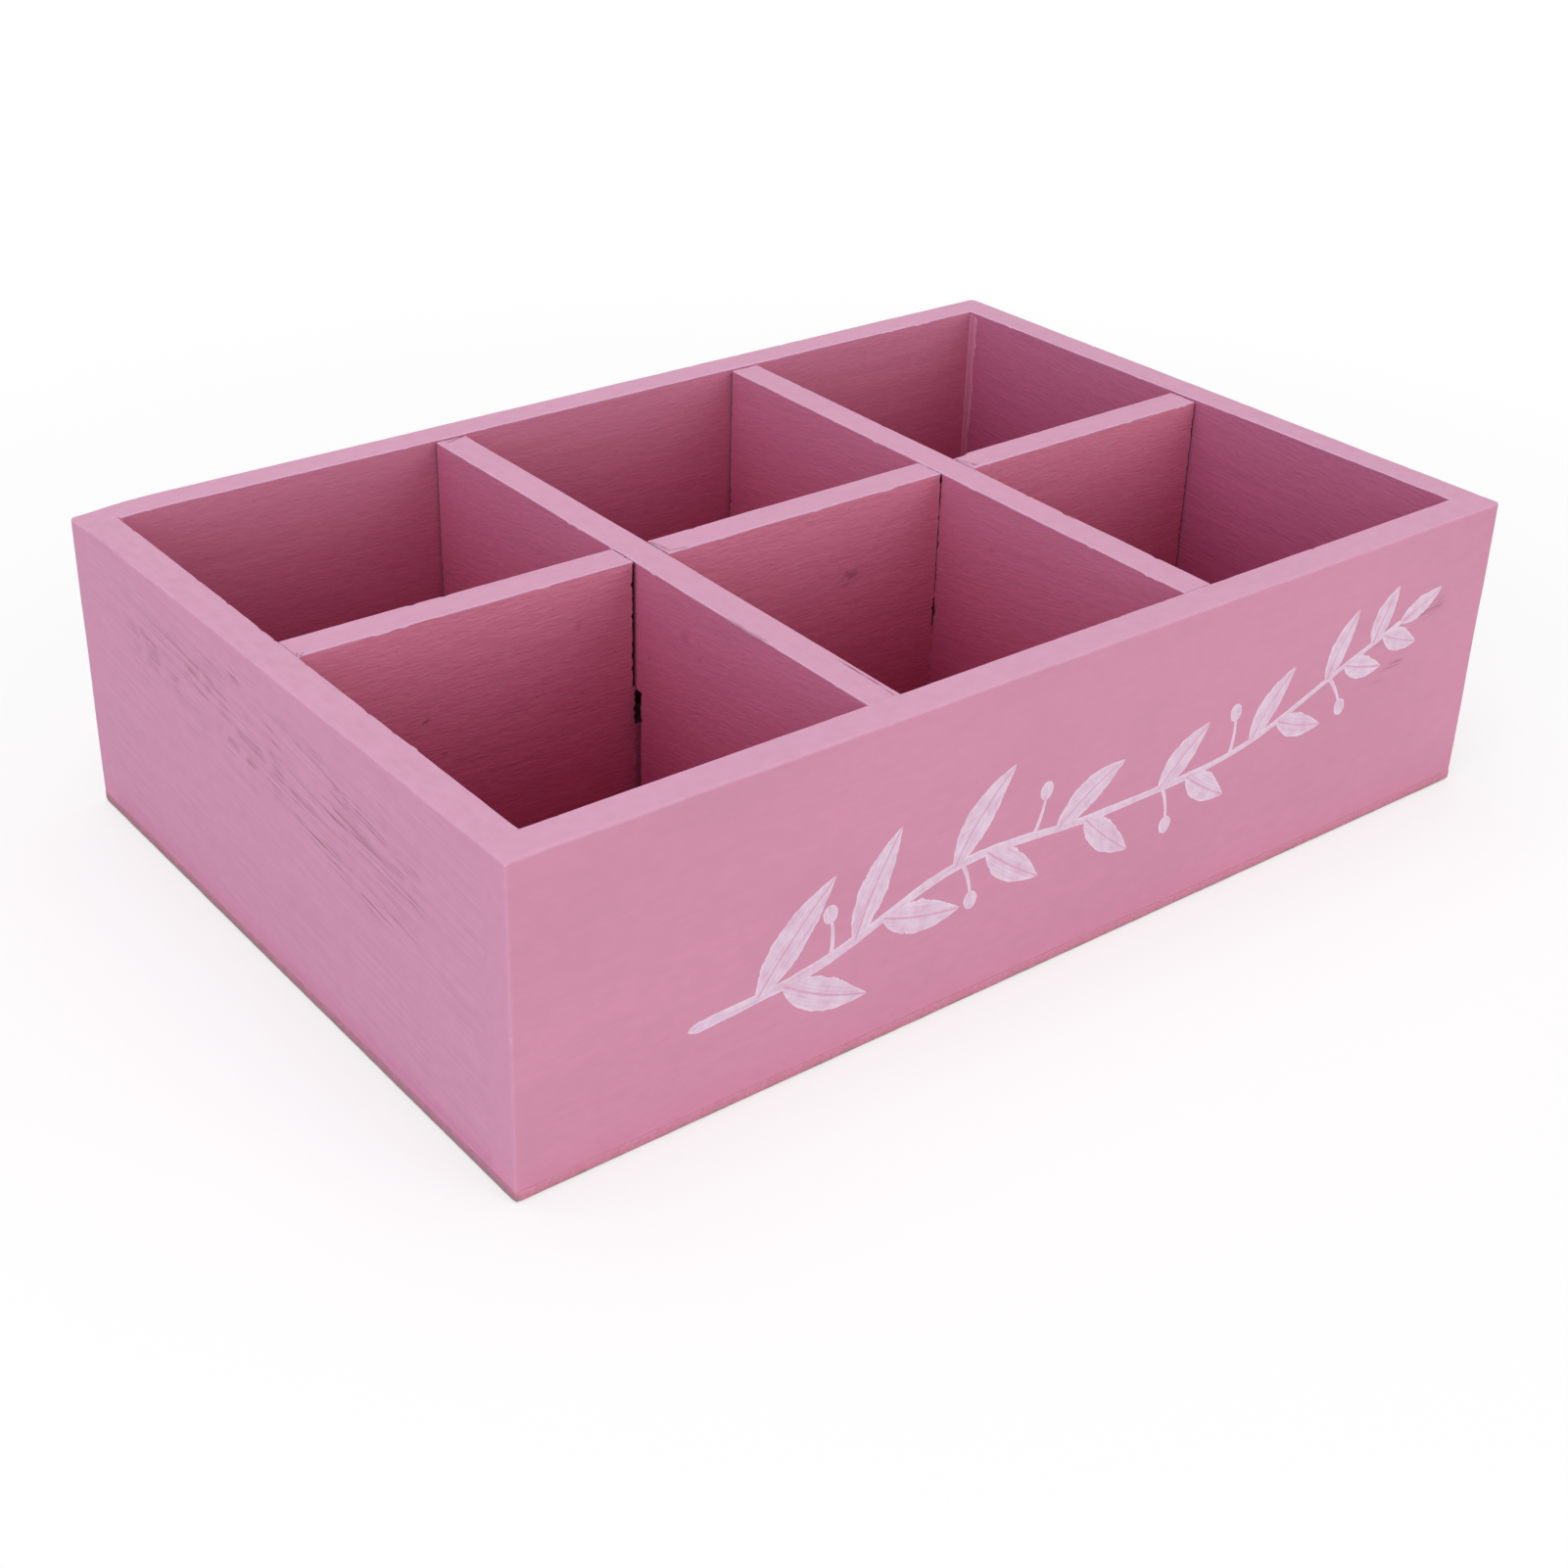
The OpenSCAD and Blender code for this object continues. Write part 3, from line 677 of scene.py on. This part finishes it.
def plywood(name, look):
    material, tree = emptyMaterial(name)
    place = addNode(tree, "ShaderNodeTexCoord")["Object"]
    band = addNode(tree, "ShaderNodeAttribute", {"attribute_name": "band"})["Fac"]
    floor = addNode(tree, "ShaderNodeAttribute", {"attribute_name": "floor"})["Fac"]
    bare = addNode(tree, "ShaderNodeAttribute", {"attribute_name": "bare"})["Fac"]
    noise = {}
    for pattern in ("veins", "rag", "pores", "brush"):
        size = [n * millimetre for n in look[pattern]]
        scaled = addNode(tree, "ShaderNodeMapping", {"vector_type": "TEXTURE", "Scale": size}, {"Vector": place})[0]
        noise[pattern] = addNode(tree, "ShaderNodeTexNoise", {"Scale": 1.0, "Detail": 3.0}, {"Vector": scaled})["Fac"]
    raw = addNode(tree, rampNode, {"stops": look["raw"]}, {0: noise["veins"]})[0]
    height = addNode(tree, "ShaderNodeSeparateXYZ", {}, {0: place})["Z"]
    level = addNode(tree, mathNode, {"operation": "MULTIPLY", 1: 1 / (panelThickness * millimetre)}, {0: height})[0]
    ragged = addNode(tree, mathNode, {"operation": "MULTIPLY_ADD", 1: 0.9, 2: -0.45}, {0: noise["rag"]})[0]
    level = addNode(tree, mathNode, {"operation": "ADD"}, {0: level, 1: ragged})[0]
    sawn = addNode(tree, rampNode, {"stops": look["band"]}, {0: level})[0]
    scant = addNode(tree, rampNode, {"stops": look["scantBand"]}, {0: level})[0]
    sawn = addNode(tree, mixNode, mixing, {0: bare, 6: sawn, 7: scant})[2]
    speckle = addNode(tree, rampNode, {"stops": [(0.4, 0.88), (0.56, 1.0)]}, {0: noise["pores"]})[0]
    sawn = addNode(tree, mixNode, multiplying, {6: sawn, 7: speckle})[2]
    # The floor inside the compartments is painted dark, as the shade at their bottom, with streaks.
    streaks = addNode(tree, rampNode, {"stops": [(0.35, look["inside"]), (0.65, look["shadedInsideStreak"])]}, {0: noise["brush"]})[0]
    colour = addNode(tree, mixNode, mixing, {0: band, 6: raw, 7: sawn})[2]
    colour = addNode(tree, mixNode, mixing, {0: floor, 6: colour, 7: streaks})[2]
    relief = addNode(tree, mathNode, {"operation": "MULTIPLY", 1: look["height"]}, {0: noise["veins"]})[0]
    relief = addNode(tree, mathNode, {"operation": "MULTIPLY_ADD", 1: look["height"]}, {0: noise["pores"], 2: relief})[0]
    bump = addNode(tree, "ShaderNodeBump", {"Strength": 1.0, "Distance": millimetre}, {"Height": relief})[0]
    shader = addNode(tree, "ShaderNodeBsdfPrincipled",
                     {"IOR": 1.5, "Specular IOR Level": 0.35, "Roughness": look["rough"]},
                     {"Base Color": colour, "Normal": bump})[0]
    addNode(tree, "ShaderNodeOutputMaterial", {}, {"Surface": shader})
    return material


# Peeled poplar plywood, sawn at the edge. The eye gets a straight brown grain below and a rough band of thin
# reddish paint at the edge, greyer along its lowest veneer, which took almost none.
panelPly = plywood("sawnPoplarPlywood", {
    "veins": (30, 0.9, 30), "rag": (2.2, 2.2, 8), "pores": (1.1, 1.1, 0.5), "brush": (40, 4, 4),   # mm
    "raw": [(0.3, "#A8876D"), (0.5, "#B99A80"), (0.7, "#C4A88D")],
    "band": [(0.0, "#A08287"), (0.12, "#BF7F8E"), (0.3, "#CD8499"), (0.6, "#D0869E"), (0.8, "#D189A2"),
             (0.95, "#D38FAA")],
    "scantBand": [(0.0, "#93858A"), (0.2, "#9F7C83"), (0.5, "#A97784"), (0.8, "#B3788A"), (1.0, "#C4869D")],
    # floor colours inside the compartments, painted dark as the shade at their bottom
    "inside": "#A73C60", "shadedInsideStreak": "#933351",
    "height": 0.1, "rough": 0.75,
})
bradSteps = (0, 0.6, 1.05, 1.3, 1.7)
panelX = stations(-halfLength, halfLength, bottom["spacing"], np.unique(bottomBrads[:, 0]), bradSteps)
panelY = stations(-halfDepth, halfDepth, bottom["spacing"], np.unique(bottomBrads[:, 1]), bradSteps)
panelZ = bottomLow[2] + np.array([0, 0.04, 0.1, 0.22, 0.33, 0.44, 0.56, 0.67, 0.78, 0.9, 1]) * panelThickness
quads, i, j, k = slabQuads(np.ones((len(panelX) - 1, len(panelY) - 1), bool), len(panelZ) - 1)
points, marks = bottomShape(panelX[i], panelY[k], panelZ[j])
bottomPiece = makePiece("bottomPanel", points, quads[:, ::-1], marks, panelPly)
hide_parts("bottom_panel")
print("bottom made")


# Beads of paint and glue that ran together where boards meet

beads = {
    # the corner it fills, the way it faces, its width at the foot and at the top, how far below the rim it ends,
    # and its shares on the long board and on the end board
    "beadBackRight": ((innerLength, innerDepth), (-1, -1), (1.2, 1.8), 0.9, (0.15, 1.8)),
    "beadBackLeft": ((-innerLength, innerDepth), (1, -1), (1.0, 1.4), 0.25, (1, 1)),
    "beadFrontRight": ((innerLength, -innerDepth), (-1, 1), (0.9, 0.6), 0.9, (1, 1)),
    "beadFrontLeft": ((-innerLength, -innerDepth), (1, 1), (0.8, 0.5), 1.0, (1, 1)),
}


def bead(name, corner, facing, widths, below, shares):
    # A hollow quarter round carried up a corner: w (1 - sin t), w (1 - cos t), with a width w that wanders and
    # lips that stand up a little at both sides
    seed = 210 + list(beads).index(name)
    top = rim - below
    height = np.linspace(foot + 0.3, top, 110)[:, None]
    up = (height - foot) / (top - foot)
    turn = np.linspace(0, math.pi / 2, 13)[None, :]
    wide = widths[0] + (widths[1] - widths[0]) * up
    wide = wide * (1 + 0.16 * softNoise(height, 0, 5, seed) + 0.12 * softNoise(height, turn > 0.8, 1.5, seed + 10))
    wide = np.clip(wide, 0.15, None) * np.sqrt(np.clip((top - height) / 0.8, 0.03, 1))
    lip = 0.09 * (hill(turn - 0.22, 0.16) + hill(turn - 1.35, 0.16)) * wide
    arcX, arcY = shares[0] * wide * (1 - np.sin(turn)) + lip, shares[1] * wide * (1 - np.cos(turn)) + lip
    x = corner[0] + facing[0] * np.concatenate([arcX, 0.3 * arcX[:, ::-1] - 0.3], 1)
    y = corner[1] + facing[1] * np.concatenate([arcY, 0.3 * arcY[:, ::-1] - 0.3], 1)
    z = height + 0 * x
    quads = tubeQuads(len(height), x.shape[1])
    # The bead takes the inner colours, painted darker towards the floor as painted shade.
    inside = 0.12 + 0.7 * np.clip((rim - z) / (rim - foot), 0, 1)
    # The lips of the bead are painted paler as a painted highlight.
    lips = np.concatenate([lip, 0 * lip], 1) / widths[1] / 0.09
    piece = makePiece(name, np.stack([x, y, z], -1).reshape(-1, 3),
                      quads if facing[0] * facing[1] > 0 else quads[:, ::-1],
                      {"inside": inside.ravel(), "edge": 0.08 + 0.3 * lips.ravel()}, longBoardPaint)


for name, look in beads.items():
    bead(name, *look)
print("beads made")


# The ornament: a sprig of leaves and berries in one coat of white, painted freehand on the front board

sprig = {
    "stem": [(-107, 24), (-72, 27), (-32, 38), (12, 36), (58, 38), (96, 50), (118, 57)],   # x and z along it
    "stemWidth": (2.8, 1.2),           # at its root and at its tip
    "leavesAt": [0.09, 0.21, 0.33, 0.45, 0.57, 0.69, 0.8, 0.9],
    "leafLength": (31, 15), "leafWidth": (8.6, 5.2),   # near the root and near the tip
    "leafLean": (50, 44),              # degrees between the stem and the leaves above and below it
    "berriesAt": [0.18, 0.335, 0.42, 0.575, 0.66, 0.805], "berryLength": 4.8, "berryWidth": 3.9,
    "twigLength": 9, "twigWidth": 1.0,
    "film": 0.07,                      # thickness of the coat
}


def frontFace(x, z):
    # y of the finished front face, by the same formula as the board's
    return -halfDepth + wallRelief(x, z, 40)


def brushStroke(x, z, halfWidth, seed):
    # A stroke along a path: film * sqrt(1 - v^2) proud of the board at v half-widths from its middle, with a
    # ragged edge. Its marks are the way along it and across it in mm, and how near its edge a point lies.
    tangentX, tangentZ = np.gradient(x), np.gradient(z)
    long = np.hypot(tangentX, tangentZ)
    tangentX, tangentZ = tangentX / long, tangentZ / long
    travelled = np.concatenate([[0], np.cumsum(np.hypot(np.diff(x), np.diff(z)))])
    v = np.sin(np.linspace(math.pi / 2, -math.pi / 2, 11))[None, :]
    side = np.where(v > 0, 0, 9)
    rag = 1 + 0.06 * softNoise(travelled[:, None], side, 2.1, seed) + 0.05 * softNoise(travelled[:, None], side, 0.8, seed + 1)
    across = v * halfWidth[:, None] * rag
    atX, atZ = x[:, None] - tangentZ[:, None] * across, z[:, None] + tangentX[:, None] * across
    face = frontFace(atX, atZ)
    front = face - sprig["film"] * np.sqrt(np.clip(1 - v * v, 0, 1))
    points = np.stack([np.concatenate([atX, atX[:, ::-1]], 1), np.concatenate([front, face[:, ::-1] + 0.03], 1),
                       np.concatenate([atZ, atZ[:, ::-1]], 1)], -1)
    along = travelled[:, None] + np.zeros(22) + seed * 13.7
    across = np.concatenate([across, across[:, ::-1]], 1)
    fromRim = halfWidth[:, None] - np.abs(across)
    return points.reshape(-1, 3), tubeQuads(len(x), 22), along.ravel(), across.ravel(), hill(fromRim, 0.35).ravel()


def splinePath(points, count):
    # A smooth path through the points, by a cubic through each four neighbours
    points = np.array(points, float)
    padded = np.concatenate([[2 * points[0] - points[1]], points, [2 * points[-1] - points[-2]]])
    t = np.linspace(0, len(points) - 1, count)
    i = np.minimum(t.astype(int), len(points) - 2)
    f = (t - i)[:, None]
    a, b, c, d = padded[i], padded[i + 1], padded[i + 2], padded[i + 3]
    return 0.5 * (2 * b + (c - a) * f + (2 * a - 5 * b + 4 * c - d) * f ** 2 + (3 * b - a - 3 * c + d) * f ** 3)


def bentPath(start, angle, length, bend, count):
    # A path of the given length whose direction turns evenly by bend degrees
    way = np.radians(angle + bend * np.linspace(0, 1, count))
    step = length / (count - 1)
    x = start[0] + np.concatenate([[0], np.cumsum(np.cos(way[:-1]) * step)])
    z = start[1] + np.concatenate([[0], np.cumsum(np.sin(way[:-1]) * step)])
    return x, z


def leafStroke(start, way, length, wide, bend, seed):
    # half-width of a leaf at s from its stalk to its tip: w/2 sin(pi s^0.85)^0.9, and a stalk that thins out
    x, z = bentPath(start, way, length, bend, 52)
    s = np.linspace(0, 1, 52)
    return x, z, 0.5 * wide * np.sin(math.pi * s ** 0.85) ** 0.9 + 0.45 * (1 - s) + 0.03, seed


def sprigStrokes():
    # Lists of strokes for the stem and its twigs, the leaves and the berries
    stem = splinePath(sprig["stem"], 240)
    t = np.linspace(0, 1, 240)
    root, tip = sprig["stemWidth"]
    stemHalf = 0.5 * (root + (tip - root) * t) * (1 + 0.16 * softNoise(t * 60, 0, 3, 300))
    stemHalf *= np.sqrt(np.clip(np.minimum(t / 0.012, (1 - t) / 0.02), 0.02, 1))
    stems, leaves, berries = [(stem[:, 0], stem[:, 1], stemHalf, 300)], [], []
    random = np.random.default_rng(7)

    def stemAt(share):
        here = int(np.clip(share, 0.005, 0.99) * 239)
        run = stem[here + 1] - stem[here - 1]
        return stem[here], math.degrees(math.atan2(run[1], run[0]))

    for number, share in enumerate(sprig["leavesAt"]):
        for side in (1, -1):
            start, way = stemAt(share + 0.035 * (side < 0))
            length = sprig["leafLength"][1] + (sprig["leafLength"][0] - sprig["leafLength"][1]) * (1 - share)
            wide = sprig["leafWidth"][1] + (sprig["leafWidth"][0] - sprig["leafWidth"][1]) * (1 - share)
            lean = sprig["leafLean"][0 if side > 0 else 1] + random.uniform(-5, 5)
            leaves.append(leafStroke(start, way + side * lean, (length + random.uniform(-2, 2)) * (1 if side > 0 else 0.86),
                                     wide + random.uniform(-0.5, 0.5), -side * random.uniform(10, 24),
                                     310 + 2 * number + (side < 0)))
    for number, share in enumerate(sprig["berriesAt"]):
        side = -1 if number % 2 else 1
        start, way = stemAt(share)
        x, z = bentPath(start, way + side * 66, sprig["twigLength"], side * 22, 24)
        stems.append((x, z, 0.5 * sprig["twigWidth"] * (1.3 - 0.5 * np.linspace(0, 1, 24)), 340 + number))
        x, z = bentPath((x[-1], z[-1]), way + side * 88, sprig["berryLength"], 0, 26)
        s = np.linspace(0, 1, 26)
        berries.append((x, z, 0.5 * sprig["berryWidth"] * np.sqrt(np.clip(1 - (2 * s - 1) ** 2, 0.002, 1)), 350 + number))
    start, way = stemAt(0.99)
    leaves.append(leafStroke(start, way, sprig["leafLength"][1] + 1, sprig["leafWidth"][1], 8, 345))
    return stems, leaves, berries


def whitePaint(name, look):
    material, tree = emptyMaterial(name)
    place = addNode(tree, "ShaderNodeTexCoord")["Object"]
    marks = {mark: addNode(tree, "ShaderNodeAttribute", {"attribute_name": mark})["Fac"]
             for mark in ("along", "across", "ridge")}
    u = addNode(tree, mathNode, {"operation": "MULTIPLY", 1: 1 / look["bristle"][0]}, {0: marks["along"]})[0]
    v = addNode(tree, mathNode, {"operation": "MULTIPLY", 1: 1 / look["bristle"][1]}, {0: marks["across"]})[0]
    stroke = addNode(tree, "ShaderNodeCombineXYZ", {}, {"X": u, "Y": v})[0]
    bristle = addNode(tree, "ShaderNodeTexNoise", {"Scale": 1.0, "Detail": 2.0}, {"Vector": stroke})["Fac"]
    scaled = addNode(tree, "ShaderNodeMapping", {"vector_type": "TEXTURE", "Scale": [look["patch"] * millimetre] * 3},
                     {"Vector": place})[0]
    patch = addNode(tree, "ShaderNodeTexNoise", {"Scale": 1.0, "Detail": 6.0, "Roughness": 0.65}, {"Vector": scaled})["Fac"]
    cover = addNode(tree, mathNode, {"operation": "MULTIPLY", 1: look["bristleShare"]}, {0: bristle})[0]
    cover = addNode(tree, mathNode, {"operation": "MULTIPLY_ADD", 1: 1 - look["bristleShare"]}, {0: patch, 2: cover})[0]
    cover = addNode(tree, mathNode, {"operation": "MULTIPLY_ADD", 1: look["ridge"]}, {0: marks["ridge"], 2: cover})[0]
    fromMiddle = addNode(tree, mathNode, {"operation": "ABSOLUTE"}, {0: marks["across"]})[0]
    vein = addNode(tree, rampNode, {"stops": [(0.1, look["vein"]), (0.3, 0.0)]}, {0: fromMiddle})[0]
    cover = addNode(tree, mathNode, {"operation": "SUBTRACT"}, {0: cover, 1: vein})[0]
    colour = addNode(tree, rampNode, {"stops": look["cover"]}, {0: cover})[0]
    relief = addNode(tree, mathNode, {"operation": "MULTIPLY", 1: look["height"]}, {0: cover})[0]
    bump = addNode(tree, "ShaderNodeBump", {"Strength": 1.0, "Distance": millimetre}, {"Height": relief})[0]
    shader = addNode(tree, "ShaderNodeBsdfPrincipled",
                     {"IOR": 1.5, "Specular IOR Level": 0.35, "Roughness": look["rough"]},
                     {"Base Color": colour, "Normal": bump})[0]
    addNode(tree, "ShaderNodeOutputMaterial", {}, {"Surface": shader})
    return material


# White craft acrylic in one brushed coat. The eye gets a milky white that lets the pink through where the
# bristles ran dry, a brighter ridge along each stroke's edge, and a thin bare vein down each leaf.
whiteLook = {
    "bristle": (16, 0.55), "patch": 4.0, "bristleShare": 0.4,      # mm, mm and a share
    "cover": [(0.3, "#D59DB8"), (0.42, "#D6B2C9"), (0.52, "#DBC2D6"), (0.66, "#E4D0E0")],
    "ridge": 0.12, "vein": 0.0,
    "height": 0.04, "rough": 0.55,
}
stemWhite = whitePaint("brushedWhiteAcrylic", whiteLook)
leafWhite = whitePaint("brushedWhiteAcrylicOnLeaves", {**whiteLook, "vein": 0.22})
for name, strokes, white in zip(("sprigStem", "sprigLeaves", "sprigBerries"), sprigStrokes(), (stemWhite, leafWhite, stemWhite)):
    points, quads, *marks = zip(*[brushStroke(*stroke) for stroke in strokes])
    starts = np.cumsum([0] + [len(n) for n in points[:-1]])
    makePiece(name, np.concatenate(points), np.concatenate([n + start for n, start in zip(quads, starts)]),
              dict(zip(("along", "across", "ridge"), [np.concatenate(mark) for mark in marks])), white)
print("sprig painted")


# Drawn steel wire of the brads. The eye gets a plain grey metal with fine scratches on the heads.

def drawnSteel(name, look):
    material, tree = emptyMaterial(name)
    place = addNode(tree, "ShaderNodeTexCoord")["Object"]
    scaled = addNode(tree, "ShaderNodeMapping", {"vector_type": "TEXTURE", "Scale": [look["scratch"] * millimetre] * 3},
                     {"Vector": place})[0]
    grit = addNode(tree, "ShaderNodeTexNoise", {"Scale": 1.0, "Detail": 3.0}, {"Vector": scaled})["Fac"]
    colour = addNode(tree, rampNode, {"stops": look["colours"]}, {0: grit})[0]
    rough = addNode(tree, rampNode, {"stops": [(0.3, look["rough"]), (0.7, look["rough"] + 0.18)]}, {0: grit})[0]
    relief = addNode(tree, mathNode, {"operation": "MULTIPLY", 1: look["height"]}, {0: grit})[0]
    bump = addNode(tree, "ShaderNodeBump", {"Strength": 1.0, "Distance": millimetre}, {"Height": relief})[0]
    shader = addNode(tree, "ShaderNodeBsdfPrincipled", {"Metallic": 1.0},
                     {"Base Color": colour, "Normal": bump, "Roughness": rough})[0]
    addNode(tree, "ShaderNodeOutputMaterial", {}, {"Surface": shader})
    return material


bradSteel = drawnSteel("drawnSteelWire", {"scratch": 0.4, "colours": [(0.35, "#9A9CA0"), (0.65, "#B9BBBF")],
                                          "rough": 0.32, "height": 0.02})    # mm
for node in ("corner_brads", "divider_brads", "bottom_brads"):
    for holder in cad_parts[node].material_slots:
        holder.material = bradSteel
print("brads finished")


# Camera, lamps and floor

camera = {
    "place": (-339.87, -414.23, 308.58), "aim": (-34.14, -22.38, 40.0), "roll": 1.261,   # mm and degrees
    "lens": 53.046, "shift": (0.02685, -0.03866),
}
view = bpy.data.cameras.new("camera")
viewer = bpy.data.objects.new("camera", view)
bpy.context.scene.collection.objects.link(viewer)
bpy.context.scene.camera = viewer
view.lens, view.sensor_width = camera["lens"], 36
view.shift_x, view.shift_y = camera["shift"]
view.clip_start, view.clip_end = 0.01, 50
direction = Vector(camera["aim"]) - Vector(camera["place"])
turn = direction.to_track_quat("-Z", "Y").to_matrix().to_4x4() @ Matrix.Rotation(math.radians(camera["roll"]), 4, "Z")
viewer.matrix_world = Matrix.Translation(Vector(camera["place"]) * millimetre) @ turn

lamps = {
    "overhead": {"place": (-0.1, 0.1, 1.5), "size": 1.6, "power": 8.6, "colour": "#FFFFFF"},    # metres and watts
    "leftFront": {"place": (-1.5, -0.5, 0.6), "size": 1.4, "power": 8.8, "colour": "#F6F6FF"},
    "rightFront": {"place": (0.75, -1.6, 0.5), "size": 1.4, "power": 8.9, "colour": "#FFFAF8"},
}
for name, lamp in lamps.items():
    light = bpy.data.lights.new(name, "AREA")
    light.shape, light.size, light.energy = "DISK", lamp["size"], lamp["power"]
    light.color = paint(lamp["colour"])[:3]
    holder = bpy.data.objects.new(name, light)
    bpy.context.scene.collection.objects.link(holder)
    holder.location = lamp["place"]
    holder.rotation_euler = (Vector((0, 0, 0.04)) - Vector(lamp["place"])).to_track_quat("-Z", "Y").to_euler()

studio = {
    "skyStrength": 0.53,
    "floorGrey": 0.92, "floorSpan": 8.0,
    "whiteFrom": 0.22, "whiteBy": 0.45,    # metres from the middle between which the floor fades to white
    "shadow": 0.4,                         # how much of the floor's shading the camera sees
}
world = bpy.data.worlds.new("studio")
bpy.context.scene.world = world
world.use_nodes = True
tree = world.node_tree
tree.nodes.clear()
ray = addNode(tree, "ShaderNodeLightPath")
seen = addNode(tree, mathNode, {"operation": "MAXIMUM"}, {0: ray["Is Camera Ray"], 1: ray["Is Glossy Ray"]})[0]
seen = addNode(tree, mathNode, {"operation": "MAXIMUM"}, {0: seen, 1: ray["Is Transmission Ray"]})[0]
strength = addNode(tree, mathNode, {"operation": "MULTIPLY_ADD", 1: 1 - studio["skyStrength"], 2: studio["skyStrength"]},
                   {0: seen})[0]
sky = addNode(tree, "ShaderNodeBackground", {"Color": (1, 1, 1, 1)}, {"Strength": strength})[0]
addNode(tree, "ShaderNodeOutputWorld", {}, {"Surface": sky})

# Matt white studio paper. The camera sees its shading at part strength, and white at a distance from the box.
floorPaper, tree = emptyMaterial("mattStudioPaper")
ray = addNode(tree, "ShaderNodeLightPath")
seen = addNode(tree, mathNode, {"operation": "MAXIMUM"}, {0: ray["Is Camera Ray"], 1: ray["Is Glossy Ray"]})[0]
seen = addNode(tree, mathNode, {"operation": "MAXIMUM"}, {0: seen, 1: ray["Is Transmission Ray"]})[0]
place = addNode(tree, "ShaderNodeTexCoord")["Object"]
away = addNode(tree, "ShaderNodeVectorMath", {"operation": "LENGTH"}, {0: place})["Value"]
white = addNode(tree, "ShaderNodeMapRange", {"From Min": studio["whiteFrom"], "From Max": studio["whiteBy"],
                                             "To Min": 1 - studio["shadow"], "To Max": 1.0}, {"Value": away})[0]
white = addNode(tree, mathNode, {"operation": "MULTIPLY"}, {0: white, 1: seen})[0]
grey = addNode(tree, rampNode, {"stops": [(0.0, studio["floorGrey"]), (1.0, 1.0)]}, {0: seen})[0]
paper = addNode(tree, "ShaderNodeBsdfDiffuse", {}, {"Color": grey})[0]
glow = addNode(tree, "ShaderNodeEmission", {"Color": (1, 1, 1, 1), "Strength": 1.0})[0]
both = addNode(tree, "ShaderNodeMixShader", {}, {0: white, 1: paper, 2: glow})[0]
addNode(tree, "ShaderNodeOutputMaterial", {}, {"Surface": both})
span = studio["floorSpan"]
floorMesh = bpy.data.meshes.new("studioFloor")
floorMesh.from_pydata([(-span, -span, -0.0004), (span, -span, -0.0004), (span, span, -0.0004), (-span, span, -0.0004)],
                      [], [(0, 1, 2, 3)])
floorMesh.materials.append(floorPaper)
studioFloor = bpy.data.objects.new("studioFloor", floorMesh)
bpy.context.scene.collection.objects.link(studioFloor)
bpy.context.scene.view_settings.view_transform = "Standard"
print("camera, lamps and floor placed")
